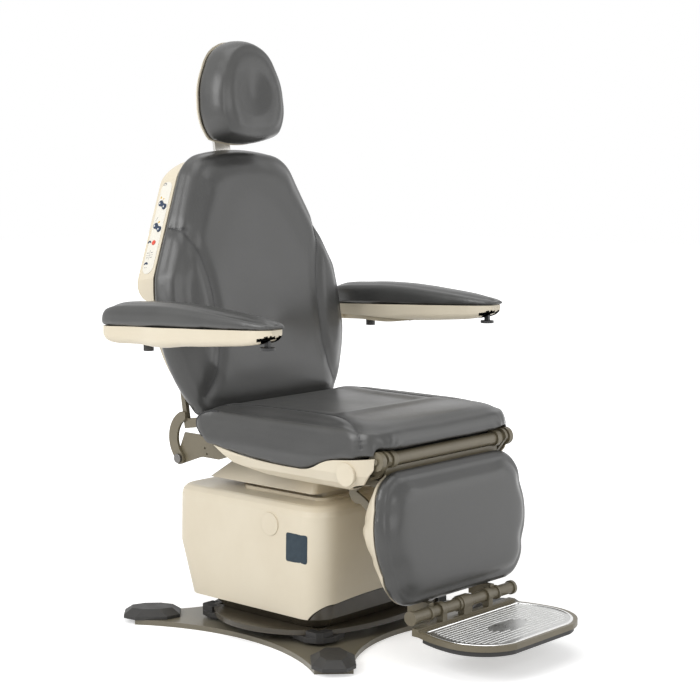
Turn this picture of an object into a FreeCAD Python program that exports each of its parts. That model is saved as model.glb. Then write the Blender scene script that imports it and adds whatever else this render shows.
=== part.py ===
import FreeCAD, Part
import math
import os
import Sketcher

# Powered examination chair in millimetres. The origin is on the floor under the swivel axis,
# +Z is up, the sitter faces -Y and the sitter's left hand is on +X.

SIZES = [
    # Running gaps and overruns
    ("run_gap", 0.5, "gap between pieces that slide or turn past each other"),
    ("seat_gap", 0.3, "gap between a soft piece or a cover and what carries it"),
    ("overrun", 4, "how far a cutting shape runs past the face it opens"),
    # Base plate and foot caps
    ("plate_thick", 12, "thickness of the steel base plate"),
    ("foot_past", 40, "how far each base arm reaches past the middle of its cap"),
    ("foot_width", 86, "width of each base arm at its end"),
    ("side_waist", 268, "half width of the base plate at its side waist"),
    ("front_waist", 229, "half depth of the base plate at its front waist"),
    ("cap_length", 135, "length of a rubber foot cap along its arm"),
    ("cap_width", 98, "width of a rubber foot cap"),
    ("cap_height", 22, "height of a rubber foot cap over the plate"),
    ("cap_shoulder", 8, "height of the cap's upright edge"),
    ("cap_inset", 19, "how far the cap's top facet is drawn in"),
    ("cap_clear", 47.6, "gap between the brake ring's corner and a foot cap"),
    # Swivel bearing
    ("race_outer", 150, "outer radius of the swivel races"),
    ("race_inner", 110, "inner radius of the swivel races"),
    ("race_height", 10, "height of one swivel race"),
    # Chassis of the turntable
    ("chassis_thick", 6, "thickness of the chassis plate"),
    ("chassis_half", 194, "half width of the chassis plate"),
    ("chassis_depth", 158, "half depth of the chassis plate"),
    ("chassis_boss", 12, "radius of the bosses that carry the tray"),
    ("boss_x", 165, "boss centre to the middle of the chassis, across"),
    ("boss_y", 120, "boss centre to the middle of the chassis, front to back"),
    ("tower_x", 84, "side of the column foot to the middle"),
    ("tower_thick", 5, "thickness of the column foot cheeks"),
    ("tower_depth", 60, "half depth of the column foot cheeks"),
    ("tower_height", 70, "height of the column foot cheeks"),
    # Foot brake ring
    ("brake_low", 32.5, "underside of the brake bars"),
    ("brake_high", 44.5, "top of the brake bars"),
    ("brake_travel", 7, "travel of the brake ring"),
    ("rail_x", 202, "inner side of the brake rails, across"),
    ("rail_y", 166, "inner side of the brake rails, front to back"),
    ("rail_width", 10, "width of the brake rails"),
    ("rail_low", 38.8, "underside of the brake rails"),
    ("bar_end", 16, "how far a brake bar stands past its rail at its ends"),
    ("bar_bulge_x", 78, "how far a side bar stands past its rail at its middle"),
    ("bar_bulge_y", 50, "how far a front bar stands past its rail at its middle"),
    ("bar_short", 22, "distance from a bar's end to the corner of the rails"),
    ("block_width", 22, "width of a corner block outside the rails"),
    ("skid_leg", 62, "length of a block's skid under each bar"),
    ("skid_inner", 18, "how far the skid reaches under the rails"),
    # Lower tray and base cover
    ("tray_low", 45, "underside of the lower tray"),
    ("tray_rim", 66, "top of the tray's side rim"),
    ("tray_half", 226, "half width of the tray at its rim"),
    ("tray_front", 184, "front face of the tray"),
    ("tray_rear", 186, "rear face of the tray"),
    ("tray_round", 58, "corner radius of the tray"),
    ("tray_undercut", 15, "how far the tray draws in at its underside"),
    ("tray_wall", 3, "wall of the tray"),
    ("kick_high", 108, "top of the toe kick at the middle of the front"),
    ("kick_round", 47, "how far the arch's shoulders lie in from its ends"),
    ("kick_drop", 8, "how far the arch's shoulders lie below its top"),
    ("kick_half", 222, "half width of the toe kick arch at the rim"),
    ("cover_wall", 3, "wall of the base cover"),
    ("cover_half", 227, "half width of the base cover at its foot"),
    ("cover_top_half", 221, "half width of the base cover at its shoulder"),
    ("cover_front", 190, "front face of the base cover"),
    ("cover_rear_low", 249, "rear face of the cover at its foot"),
    ("cover_rear_high", 294, "rear face of the cover at its shoulder"),
    ("cover_break", 190, "height where the rear face starts to slant in"),
    ("cover_shoulder", 304, "height where the top edge starts to round"),
    ("cover_top", 328, "top of the base cover"),
    ("cover_edge", 20, "radius of the cover's top edge"),
    ("cover_corner", 62, "radius of the cover's front corners"),
    ("cover_rear_corner", 40, "radius of the cover's rear corners"),
    ("badge_width", 54, "width of the embossed oval"),
    ("badge_height", 54, "height of the embossed oval"),
    ("badge_proud", 2.5, "how far the embossed oval stands out"),
    ("badge_y", 30, "embossed oval in front of the swivel axis"),
    ("badge_z", 273, "height of the embossed oval's middle"),
    # Lift column and telescoping neck covers
    ("stage_x", 76, "half width of the column's outer stage"),
    ("stage_y", 58, "half depth of the column's outer stage"),
    ("stage_wall", 5, "wall of each column stage"),
    ("stage_top", 322, "top of the column's outer stage"),
    ("stage_lift", 8, "how far each inner stage stands over the floor of the one round it"),
    ("stage_step", 14, "how far the top of each inner stage stands over the stage round it"),
    ("neck_x", 128, "half width of the upper neck cover"),
    ("neck_front", 116, "front face of the upper neck cover"),
    ("neck_rear", 116, "rear face of the upper neck cover"),
    ("neck_wall", 2.5, "wall of the neck covers"),
    ("neck_low", 84, "underside of the upper neck cover"),
    ("neck_mid_low", 78, "underside of the middle neck cover"),
    ("neck_mid_top", 333, "top of the middle neck cover"),
    ("skirt_low", 345, "lower edge of the flared skirt"),
    ("skirt_high", 385.7, "top of the flared skirt"),
    ("skirt_x", 168, "half width of the skirt at its lower edge"),
    ("skirt_rear", 232, "rear of the skirt at its lower edge"),
    ("skirt_front", 120, "front of the skirt at its lower edge"),
    ("skirt_top_rear", 176, "rear of the skirt at its top"),
    ("skirt_top_x", 152, "half width of the skirt at its top"),
    ("neck_round", 14, "corner radius of the neck covers"),
    ("flange_width", 22, "width of the flange on the cover's top round the neck"),
    ("flange_height", 7, "height of that flange"),
    # Drive unit, control box and power inlet inside the base cover
    ("motor_radius", 27, "radius of the lift motor"),
    ("motor_length", 130, "length of the lift motor"),
    ("motor_x", 175, "lift motor to the middle, across"),
    ("motor_z", 112, "height of the lift motor's axis"),
    ("gear_half", 31, "half width of the motor's gear case"),
    ("gear_length", 46, "length of the motor's gear case"),
    ("control_x", 156, "inner face of the control box"),
    ("control_width", 48, "width of the control box"),
    ("control_half", 95, "half depth of the control box"),
    ("control_height", 150, "height of the control box"),
    ("inlet_width", 48, "width of the power inlet's flange"),
    ("inlet_height", 30, "height of the power inlet's flange"),
    ("inlet_deep", 30, "depth of the power inlet behind the cover"),
    ("inlet_flange", 2, "thickness of the power inlet's flange"),
    ("inlet_z", 236, "height of the power inlet"),
    ("inlet_hole_x", 27, "width of the inlet's opening"),
    ("inlet_hole_z", 19, "height of the inlet's opening"),
    ("inlet_hole_deep", 17, "depth of the inlet's opening"),
    ("blade_width", 4, "width of an inlet contact blade"),
    ("blade_thick", 2, "thickness of an inlet contact blade"),
    ("blade_pitch", 7, "pitch of the inlet's contact blades"),
    # Seat
    ("seat_half", 265, "half width of the seat cushion"),
    ("seat_front", 395, "front of the seat cushion"),
    ("seat_rear", 192, "rear edge of the seat cushion"),
    ("seat_edge_z", 492, "height of the seat cushion's rear edge"),
    ("seat_heel", 142, "rear of the seat cushion at its underside"),
    ("seat_slope", 76, "how far the seat's top falls to its rear edge, front to back"),
    ("seat_top", 538, "top of the seat cushion"),
    ("seat_round_front", 82, "front corner radius of the seat"),
    ("seat_round_rear", 30, "rear corner radius of the seat"),
    ("parting_rear_z", 447, "seat parting line at the rear"),
    ("parting_low_z", 424, "lowest point of the seat parting line"),
    ("parting_low_y", 150, "place of that lowest point, in front of the axis"),
    ("parting_step_z", 458, "seat parting line past the rising step"),
    ("parting_step_y", 272, "place of that step, in front of the axis"),
    ("parting_tip_z", 471, "seat parting line at the front"),
    ("shell_low", 386, "underside of the seat shell"),
    ("shell_half", 262, "half width of the seat shell"),
    ("shell_wall", 3, "wall of the seat shell"),
    ("shell_rear", 118, "rear end of the seat shell"),
    ("shell_flat_rear", 72, "where the shell's flat underside ends, in front of the axis"),
    ("shell_heel_y", 60, "heel of the seat shell behind the axis"),
    ("shell_heel_z", 412, "height of that heel"),
    ("shell_flat_front", 280, "where the shell's underside starts to rise at the front"),
    ("shell_nose", 384, "front tip of the seat shell"),
    ("nose_notch_y", 357, "leg pivot notch in the shell's nose"),
    ("nose_notch_z", 433, "height of that notch"),
    ("nose_low_y", 338, "lower corner of the shell's nose"),
    ("nose_low_z", 408, "height of that corner"),
    ("boss_radius", 26, "radius of the round boss on the shell's side"),
    ("boss_proud", 3, "how far the round boss stands out"),
    ("boss_place_y", 303, "round boss in front of the swivel axis"),
    ("boss_place_z", 430, "height of the round boss"),
    # Seat frame, back hinge and leg pivot
    ("frame_thick", 6, "thickness of the seat frame plate"),
    ("frame_front", 346, "front edge of the seat frame plate"),
    ("frame_rear", 112, "rear edge of the seat frame plate"),
    ("cheek_thick", 5, "thickness of the hinge cheeks"),
    ("cheek_x", 228, "inner face of the hinge cheeks"),
    ("cheek_dip_z", 406, "underside of the hinge cheeks at their waist"),
    ("cheek_dip_y", 187, "place of that waist behind the axis"),
    ("cheek_top", 459, "top of the hinge cheeks behind the cushion"),
    ("cheek_back", 246, "rear edge of the hinge cheeks"),
    ("cheek_hole", 2.6, "radius of the two small holes in a hinge cheek"),
    ("hole_a_y", 176, "upper small hole behind the axis"),
    ("hole_a_z", 428, "height of the upper small hole"),
    ("hole_b_y", 169, "lower small hole behind the axis"),
    ("hole_b_z", 415, "height of the lower small hole"),
    ("hinge_y", 259, "back hinge pin behind the swivel axis"),
    ("hinge_z", 395, "height of the back hinge pin"),
    ("hinge_round", 15, "radius of the cheek and arm ends round the hinge pin"),
    ("shaft_thick", 8, "radius of the hinge shaft through both cheeks"),
    ("shaft_head", 11, "radius of the bolt heads on the hinge shaft"),
    ("shaft_head_thick", 7, "thickness of those bolt heads"),
    ("arm_thick", 7, "thickness of the crescent hinge arms"),
    ("crescent_y", 294, "rearmost point of the crescent arms"),
    ("crescent_z", 447, "height of that point"),
    ("crescent_width", 29, "width of the crescent arms at their middle"),
    ("crescent_top_y", 253, "upper rear corner of the crescent arms"),
    ("crescent_top_z", 509, "top of the crescent arms"),
    ("crescent_in_y", 236, "upper front corner of the crescent arms"),
    ("crescent_in_z", 492, "height where the crescent's inner edge starts"),
    ("leg_y", 367, "leg rest pivot in front of the swivel axis"),
    ("leg_z", 462, "height of the leg rest pivot"),
    ("tube_radius", 14.5, "radius of the leg pivot tube"),
    ("tube_wall", 2.5, "wall of the pivot tubes"),
    ("tube_half", 226, "half length of the leg pivot tube"),
    ("collar_radius", 21, "outer radius of the leg pivot collars"),
    ("collar_width", 13, "width of a leg pivot collar"),
    ("collar_x", 222, "inner face of a leg pivot collar"),
    ("bolt_stand", 4.3, "how far a collar's bolt head stands out"),
    ("strut_thick", 8, "thickness of the struts that carry the leg pivot"),
    ("strut_x", 206, "inner face of those struts"),
    # Back
    ("back_lean", 9.5, "lean of the back at rest, degrees"),
    ("back_y", 239, "rear plane of the back cushion behind the axis, at the datum height"),
    ("back_z", 520, "datum height of the back"),
    ("back_thick", 84, "thickness of the back cushion at its crown"),
    ("back_bottom", 17, "how far the back cushion reaches below its datum"),
    ("back_top", 615, "length of the back cushion above its datum"),
    ("back_foot_half", 225, "half width of the back at its lower corner"),
    ("back_wide_half", 300, "half width of the back at its widest"),
    ("back_wide_at", 205, "height of the widest place over the datum"),
    ("flank_low_half", 291, "half width where the straight flank starts"),
    ("flank_low_at", 316, "height where the straight flank starts"),
    ("flank_high_half", 176, "half width where the straight flank ends"),
    ("flank_high_at", 558, "height where the straight flank ends"),
    ("crown_half", 118, "half width where the top arc starts"),
    ("crown_at", 603, "height where the top arc starts"),
    ("back_shell_deep", 26, "depth of the back shell behind the cushion"),
    ("back_shell_proud", 3, "how far the shell's rim stands past the cushion's rear edge"),
    ("shell_tuck", 30, "how far the shell draws in at the back's lower corners"),
    ("back_shell_wall", 3, "wall of the back shell"),
    ("pod_deep", 57, "depth of the control pods behind the cushion"),
    ("pod_width", 46, "width of the control pods"),
    ("pod_low", 262, "lower end of the control pods"),
    ("pod_full_low", 300, "height where the pods reach their full depth"),
    ("pod_full_high", 548, "height where the pods leave their full depth"),
    ("pod_high", 594, "upper end of the control pods"),
    ("film_thick", 0.8, "thickness of the keypad films"),
    ("film_width", 38, "width of the keypad films"),
    ("film_start", 9, "front edge of a keypad film behind the cushion"),
    ("film_low", 14, "lower end of a film, along the flank"),
    ("film_high", 258, "upper end of a film, along the flank"),
    ("key_proud", 1.2, "how far a key stands over its film"),
    ("key_deep", 1.6, "how far a key reaches into its window"),
    ("rocker_length", 34, "length of a rocker key"),
    ("rocker_width", 15, "width of a rocker key"),
    ("key_radius", 6, "radius of a round key"),
    ("key_gap", 0.4, "gap round a key in its window"),
    ("key_round_at", 96, "round key along the flank"),
    ("lift_key_at", 136, "lift rocker along the flank"),
    ("back_key_at", 196, "back rocker along the flank"),
    ("rocker_turn", 35, "turn of a rocker key on its film, degrees"),
    ("back_frame_thick", 14, "thickness of the back frame's uprights"),
    ("back_frame_x", 150, "outer side of the back frame's uprights"),
    ("back_frame_bar", 40, "width of the back frame's uprights and bars"),
    ("back_frame_low", 22, "lower end of the back frame"),
    ("back_frame_high", 520, "upper end of the back frame"),
    ("bracket_low", 50, "how far the brackets hang below the back's datum"),
    ("gusset_reach", 30, "how far the brackets reach forward under the back"),
    ("arm_axis_y", 283, "armrest pivot behind the swivel axis"),
    ("arm_axis_z", 708, "height of the armrest pivot"),
    ("shaft_radius", 9, "radius of an armrest shaft"),
    ("shaft_in", 190, "inner end of an armrest shaft"),
    ("shaft_past", 34, "how far an armrest shaft reaches past the armrest's middle"),
    # Headrest
    ("head_lean", 6, "lean of the headrest at rest, degrees"),
    ("head_y", 301, "rear plane of the headrest cushion behind the axis"),
    ("head_z", 1145, "bottom of the headrest"),
    ("head_height", 254, "height of the headrest cushion"),
    ("head_half", 116, "half width of the headrest cushion at its widest"),
    ("head_wide_at", 104, "height of the headrest's widest place"),
    ("head_thick", 88, "thickness of the headrest cushion"),
    ("dish_deep", 9, "depth of the dish in the headrest's face"),
    ("dish_half", 62, "radius of the dish in the headrest's face"),
    ("head_shell_deep", 18, "depth of the headrest's rear shell"),
    ("bar_width", 52, "width of the headrest bar"),
    ("bar_thick", 8, "thickness of the headrest bar"),
    ("bar_at", 5, "front face of the headrest bar behind the cushion's rear plane"),
    ("bar_low", 330, "lower end of the headrest bar"),
    ("bar_high", 704, "upper end of the headrest bar"),
    ("knuckle_radius", 9, "radius of the headrest's tilt knuckle"),
    ("bracket_half", 24, "half width of the headrest bracket"),
    ("bracket_height", 70, "height of the headrest bracket's pad"),
    ("bracket_thick", 5, "thickness of the headrest bracket's pad"),
    ("knuckle_drop", 30, "tilt knuckle below the top of the bracket's pad"),
    # Armrests
    ("pad_x", 388, "armrest centre line to the middle of the chair"),
    ("pad_half", 45, "half width of an armrest pad"),
    ("pad_rear", 326, "rear end of an armrest pad"),
    ("pad_front", 230, "front tip of an armrest pad"),
    ("pad_line_rear", 727, "height of the pad's underside at its rear end"),
    ("pad_line_front", 753, "height of the pad's underside at its tip"),
    ("pad_crown", 60, "thickness of the pad at its rear third"),
    ("arm_shell_deep", 46, "depth of the arm shell under the pad, at its deepest"),
    ("notch_front", 20, "front end of the notch in the arm shell's inner side"),
    ("notch_wide", 20, "width of that notch"),
    ("notch_high", 702, "top of that notch"),
    ("arm_shell_wall", 2.6, "wall of the arm shell"),
    ("core_thick", 10, "thickness of the steel bar in an armrest"),
    ("core_half", 26, "half width of that bar"),
    ("core_rear", 302, "rear end of that bar"),
    ("core_front", 196, "front end of that bar"),
    ("hub_radius", 12, "outer radius of the armrest hub"),
    ("stop_radius", 12, "radius of the rubber stop under an armrest"),
    ("stop_y", 196, "rubber stop behind the swivel axis"),
    ("stop_high", 14, "height of the rubber stop"),
    ("stop_z", 688.5, "top of the rubber stop"),
    ("stop_peg", 5, "radius of the rubber stop's peg"),
    ("lever_y", 190, "armrest lever in front of the swivel axis"),
    ("lever_z", 734, "height of the armrest lever's pivot"),
    ("lever_low", 706, "underside of the armrest lever's paddle"),
    ("paddle_thick", 6, "thickness of the lever's paddle"),
    ("paddle_half", 16.5, "half width of the lever's paddle"),
    ("stem_half", 4, "half width of the lever's stem"),
    ("lever_depth", 12, "depth of the lever's stem, front to back"),
    # Leg rest
    ("leg_pad_half", 263, "half width of the leg cushion"),
    ("leg_pad_low", 136, "lower edge of the leg cushion"),
    ("leg_pad_high", 436, "upper edge of the leg cushion"),
    ("leg_pad_front", 409, "crown of the leg cushion in front of the axis"),
    ("leg_pad_rear", 366, "rear face of the leg cushion"),
    ("leg_round", 75, "corner radius of the leg cushion"),
    ("leg_lean", 6, "how far the leg cushion leans forward at its foot, degrees"),
    ("leg_shell_half", 258, "half width of the leg shell"),
    ("leg_shell_back", 289, "rearmost face of the leg shell"),
    ("leg_shell_wall", 3, "wall of the leg shell"),
    ("leg_bar_half", 200, "half width of the plate under the pivot tube"),
    ("leg_bar_low", 404, "lower edge of that plate"),
    ("leg_bar_thick", 6, "thickness of the leg frame's plates"),
    ("leg_bush_radius", 19, "outer radius of the leg frame's bushes"),
    ("leg_bush_width", 14, "width of a leg frame bush"),
    ("lever_plate_x", 180, "inner face of the leg frame's curved plates"),
    ("strap_back_y", 244, "rearmost point of those plates, in front of the axis"),
    ("strap_back_z", 376, "height of that point"),
    ("strap_width", 22, "width of the curved plates"),
    ("strap_foot_z", 332, "height where the curved plates meet the leg shell"),
    ("leg_rail_x", 96, "leg frame rails to the middle"),
    ("leg_rail_width", 36, "width of the leg frame rails"),
    # Footplate
    ("foot_y", 424, "footplate hinge in front of the swivel axis"),
    ("foot_z", 113, "height of the footplate hinge"),
    ("foot_tube_radius", 13.5, "radius of the footplate's hinge tube"),
    ("foot_tube_half", 178, "half length of the footplate's hinge tube"),
    ("foot_rear_half", 178, "half width of the footplate at its rear"),
    ("foot_wide_half", 197, "half width of the footplate at its widest"),
    ("foot_wide_y", 535, "widest place of the footplate in front of the axis"),
    ("foot_rear", 441, "rear edge of the footplate"),
    ("foot_front", 656, "front edge of the footplate"),
    ("foot_corner", 92, "how far the footplate's front corners round in, across"),
    ("foot_top", 84, "top of the footplate's tread"),
    ("tread_thick", 4, "thickness of the aluminium tread"),
    ("tread_rim", 9, "width of the rim round the tread"),
    ("rim_thick", 12, "thickness of the footplate"),
    ("bumper_thick", 12, "thickness of the rubber bumper under the footplate"),
    ("bumper_inset", 7, "how far the bumper lies inside the footplate's edge"),
    ("bumper_width", 26, "width of the rubber bumper"),
    ("rib_height", 1.2, "height of the tread's ribs"),
    ("rib_width", 3, "width of a tread rib"),
    ("rib_pitch", 11, "pitch of the tread's ribs"),
    ("rib_inset", 16, "distance of the ribs from the tread's edge"),
    ("knuckle_wall", 4.5, "wall of the footplate's knuckles"),
    ("knuckle_outer", 84, "middle of an outer knuckle to the middle"),
    ("knuckle_width", 15, "width of an outer knuckle"),
    ("knuckle_mid", 15, "half width of the middle knuckle"),
    ("rear_bar", 18, "thickness of the bar behind the tread"),
    # Electric actuators under the seat
    ("ram_radius", 13, "radius of an actuator's housing"),
    ("ram_rod", 7, "radius of an actuator's rod"),
    ("ram_eye", 10, "radius of an actuator's end eyes"),
    ("ram_pin", 4, "radius of an actuator's end pins"),
    ("leg_ram_x", 172, "leg actuator to the middle"),
    ("leg_ram_root_y", 52, "rear pivot of the leg actuator in front of the axis"),
    ("leg_ram_root_z", 404, "height of the leg actuator's rear pivot"),
    ("leg_lug_y", 331, "leg actuator's lug in front of the axis"),
    ("leg_lug_z", 401, "height of that lug"),
    ("leg_ram_body", 150, "length of the leg actuator's housing"),
    ("back_ram_x", 196, "back actuator to the middle"),
    ("back_ram_root_y", 60, "front pivot of the back actuator in front of the axis"),
    ("back_ram_root_z", 404, "height of the back actuator's front pivot"),
    ("back_lug_y", 250, "back actuator's lug behind the axis"),
    ("back_lug_z", 350, "height of that lug"),
    ("back_ram_body", 150, "length of the back actuator's housing"),
    ("back_ram_stroke", 43, "travel of the back actuator's rod into its housing"),
    ("lug_thick", 6, "thickness of the lugs that the actuators push"),
    ("foot_ring_radius", 16.5, "radius of the rings on the footplate's hinge tube"),
    ("foot_ring_width", 8, "width of those rings"),
    ("foot_lug_x", 104, "inner side of the lugs that carry the hinge tube"),
    ("foot_lug_width", 14, "width of those lugs"),
    ("foot_lug_low", 104, "underside of those lugs"),
    ("foot_lug_high", 134, "top of those lugs"),
    ("bare_half_x", 62, "half width of the bare oval in the middle of the tread"),
    ("bare_half_y", 30, "half depth of that oval"),
    ("bare_y", 552, "bare oval in front of the swivel axis"),
]

doc = FreeCAD.newDocument("examination_chair")
sheet = doc.addObject("Spreadsheet::Sheet", "Sizes")


class Size:
    """A size, or a sum of sizes, that carries the expression it follows."""

    def __init__(self, value, text):
        self.value = float(value)
        self.text = text

    def join(self, other, sign, result):
        return Size(result, "(%s %s %s)" % (self.text, sign, as_size(other).text))

    def __add__(self, other):
        return self.join(other, "+", self.value + float(other))

    def __radd__(self, other):
        return as_size(other) + self

    def __sub__(self, other):
        return self.join(other, "-", self.value - float(other))

    def __rsub__(self, other):
        return as_size(other) - self

    def __mul__(self, other):
        return self.join(other, "*", self.value * float(other))

    def __rmul__(self, other):
        return as_size(other) * self

    def __truediv__(self, other):
        return self.join(other, "/", self.value / float(other))

    def __neg__(self):
        return Size(-self.value, "(-%s)" % self.text)

    def __float__(self):
        return self.value


def as_size(value):
    return value if isinstance(value, Size) else Size(value, repr(float(value)))


class Sizes:
    """The sheet's sizes by name: as expressions, and as plain numbers in .n"""


class Numbers:
    """The sheet's sizes as plain numbers."""


s = Sizes()
n = Numbers()
for row, (alias, value, note) in enumerate(SIZES, start=1):
    sheet.set("A%d" % row, note)
    sheet.set("B%d" % row, str(value))
    sheet.setAlias("B%d" % row, alias)
    setattr(s, alias, Size(value, "Sizes." + alias))
    setattr(n, alias, float(value))
doc.recompute()

Vector = FreeCAD.Vector
Rotation = FreeCAD.Rotation
PARTS = []
ROUND_VIA_SHARE = 1 - math.sqrt(0.5)
AXIS_TURNS = {
    "x": Rotation(Vector(0, 1, 0), 90),
    "y": Rotation(Vector(1, 0, 0), -90),
    "z": Rotation(),
}
PLANES = {"XY": ("XY_Plane", 1), "XZ": ("XZ_Plane", -1), "YZ": ("YZ_Plane", 1)}


def bind(piece, target, size):
    """Ties a property to the sheet, or sets it where the size is zero."""
    size = as_size(size)
    if "Sizes." in size.text:
        piece.setExpression(target, size.text)
    elif size.value:
        raise ValueError("a bare length for " + target)


def part(label, piece):
    """Marks an object as a sub-part and gives it its name."""
    piece.Label = label
    PARTS.append(piece)
    return piece


def scratch(kind):
    return doc.addObject(kind, "Step")


def box(x0, x1, y0, y1, z0, z1):
    """A block between two corners."""
    piece = scratch("Part::Box")
    bind(piece, "Length", x1 - x0)
    bind(piece, "Width", y1 - y0)
    bind(piece, "Height", z1 - z0)
    bind(piece, "Placement.Base.x", x0)
    bind(piece, "Placement.Base.y", y0)
    bind(piece, "Placement.Base.z", z0)
    return piece


def rod(axis, radius, start, end, first, second):
    """A round bar along an axis; first and second place it across the other two."""
    piece = scratch("Part::Cylinder")
    bind(piece, "Radius", radius)
    bind(piece, "Height", end - start)
    piece.Placement = FreeCAD.Placement(Vector(), AXIS_TURNS[axis])
    place = [first, second]
    place.insert("xyz".index(axis), start)
    for letter, value in zip("xyz", place):
        bind(piece, "Placement.Base." + letter, value)
    return piece


def fuse(*pieces):
    piece = scratch("Part::MultiFuse")
    piece.Shapes = list(pieces)
    piece.Refine = True
    return piece


def cut(base, tool):
    piece = scratch("Part::Cut")
    piece.Base = base
    piece.Tool = tool
    piece.Refine = True
    return piece


def common(first, second):
    piece = scratch("Part::Common")
    piece.Base = first
    piece.Tool = second
    return piece


def mirrored(source, normal=Vector(1, 0, 0)):
    piece = scratch("Part::Mirroring")
    piece.Source = source
    piece.Normal = normal
    return piece


def group(*pieces):
    """Several separate solids that share one node."""
    piece = scratch("Part::Compound")
    piece.Links = list(pieces)
    return piece


def tube(axis, outer, inner, start, end, first, second):
    """A round tube or ring along an axis."""
    bore = rod(axis, inner, start - s.overrun, end + s.overrun, first, second)
    return cut(rod(axis, outer, start, end, first, second), bore)


def frame_box(half_x, front, rear, wall, low, high):
    """A rectangular tube that stands upright, open at both ends."""
    inner = box(wall - half_x, half_x - wall, wall - front, rear - wall,
                low - s.overrun, high + s.overrun)
    return cut(box(-half_x, half_x, -front, rear, low, high), inner)


def add_loop(sketch, corners):
    """Adds a closed outline. A corner is (a, b), or (a, b, via_a, via_b) where an arc leaves it."""
    count = len(corners)
    first = sketch.GeometryCount
    starts = []
    for index, corner in enumerate(corners):
        following = corners[(index + 1) % count]
        here = Vector(float(corner[0]), float(corner[1]), 0)
        there = Vector(float(following[0]), float(following[1]), 0)
        if len(corner) == 4:
            via = Vector(float(corner[2]), float(corner[3]), 0)
            sketch.addGeometry(Part.Arc(here, via, there), False)
            turn = (via - here).cross(there - via).z
            starts.append((1, 2) if turn > 0 else (2, 1))
        else:
            sketch.addGeometry(Part.LineSegment(here, there), False)
            starts.append((1, 2))
    for index, corner in enumerate(corners):
        here = first + index
        following = first + (index + 1) % count
        sketch.addConstraint(Sketcher.Constraint(
            "Coincident", here, starts[index][1], following, starts[(index + 1) % count][0]))
        pin_point(sketch, here, starts[index][0], corner[0], corner[1])
    for index, corner in enumerate(corners):
        if len(corner) == 4:
            via = Vector(float(corner[2]), float(corner[3]), 0)
            point = sketch.addGeometry(Part.Point(via), True)
            pin_point(sketch, point, 1, corner[2], corner[3])
            sketch.addConstraint(Sketcher.Constraint("PointOnObject", point, 1, first + index))


def pin_point(sketch, geometry, end, across, up):
    """Ties one point of a sketch to its two sizes."""
    for kind, axis, value in (("DistanceX", -2, across), ("DistanceY", -1, up)):
        value = as_size(value)
        if "Sizes." not in value.text:
            sketch.addConstraint(Sketcher.Constraint("PointOnObject", geometry, end, axis))
            continue
        number = sketch.addConstraint(Sketcher.Constraint(
            kind, -1, 1, geometry, end, value.value))
        sketch.setExpression("Constraints[%d]" % number, value.text)


def add_circle(sketch, across, up, radius):
    number = sketch.addGeometry(Part.Circle(
        Vector(float(across), float(up), 0), Vector(0, 0, 1), float(radius)), False)
    pin_point(sketch, number, 3, across, up)
    rule = sketch.addConstraint(Sketcher.Constraint("Radius", number, float(radius)))
    sketch.setExpression("Constraints[%d]" % rule, as_size(radius).text)


def profile(plane, low, high, *loops, circles=()):
    """A body padded from one sketch of closed outlines and round holes, from low to high."""
    body = scratch("PartDesign::Body")
    role, sense = PLANES[plane]
    origin = [item for item in body.Origin.OriginFeatures if item.Role == role][0]
    sketch = body.newObject("Sketcher::SketchObject", "Outline")
    sketch.AttachmentSupport = (origin, [""])
    sketch.MapMode = "FlatFace"
    bind(sketch, "AttachmentOffset.Base.z", low if sense > 0 else -high)
    for loop in loops:
        add_loop(sketch, loop)
    for across, up, radius in circles:
        add_circle(sketch, across, up, radius)
    pad = body.newObject("PartDesign::Pad", "Pad")
    pad.Profile = sketch
    bind(pad, "Length", high - low)
    sketch.Visibility = False
    return body


def shape(solid):
    """A sub-part whose form is set from the sheet's numbers."""
    piece = scratch("Part::Feature")
    piece.Shape = solid
    return piece


def ring(corners, lift):
    """A closed wire of lines and arcs; lift turns an outline point into a place."""
    count = len(corners)
    edges = []
    for index, corner in enumerate(corners):
        following = corners[(index + 1) % count]
        here = lift(corner[0], corner[1])
        there = lift(following[0], following[1])
        if len(corner) == 4:
            edges.append(Part.Arc(here, lift(corner[2], corner[3]), there).toShape())
        else:
            edges.append(Part.LineSegment(here, there).toShape())
    return Part.Wire(edges)


def at_z(z):
    return lambda a, b: Vector(a, b, z)


def at_y(y):
    return lambda a, b: Vector(a, y, b)


def at_x(x):
    return lambda a, b: Vector(x, a, b)


def loft(wires, ruled=False):
    return Part.makeLoft(wires, True, ruled)


def prism(corners, lift, along):
    """An outline pushed along a vector."""
    return Part.Face(ring(corners, lift)).extrude(along)


def block(x0, x1, y0, y1, z0, z1):
    return Part.makeBox(x1 - x0, y1 - y0, z1 - z0, Vector(x0, y0, z0))


def rounded(x0, x1, y0, y1, low_round, high_round=None):
    """A rectangle with round corners; its low and high sides may differ."""
    high_round = low_round if high_round is None else high_round
    near = low_round * ROUND_VIA_SHARE
    far = high_round * ROUND_VIA_SHARE
    return [
        (x0 + low_round, y0),
        (x1 - low_round, y0, x1 - near, y0 + near),
        (x1, y0 + low_round),
        (x1, y1 - high_round, x1 - far, y1 - far),
        (x1 - high_round, y1),
        (x0 + high_round, y1, x0 + far, y1 - far),
        (x0, y1 - high_round),
        (x0, y0 + low_round, x0 + near, y0 + near),
    ]


def mirror_shape(solid):
    return solid.mirror(Vector(), Vector(1, 0, 0))


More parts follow.
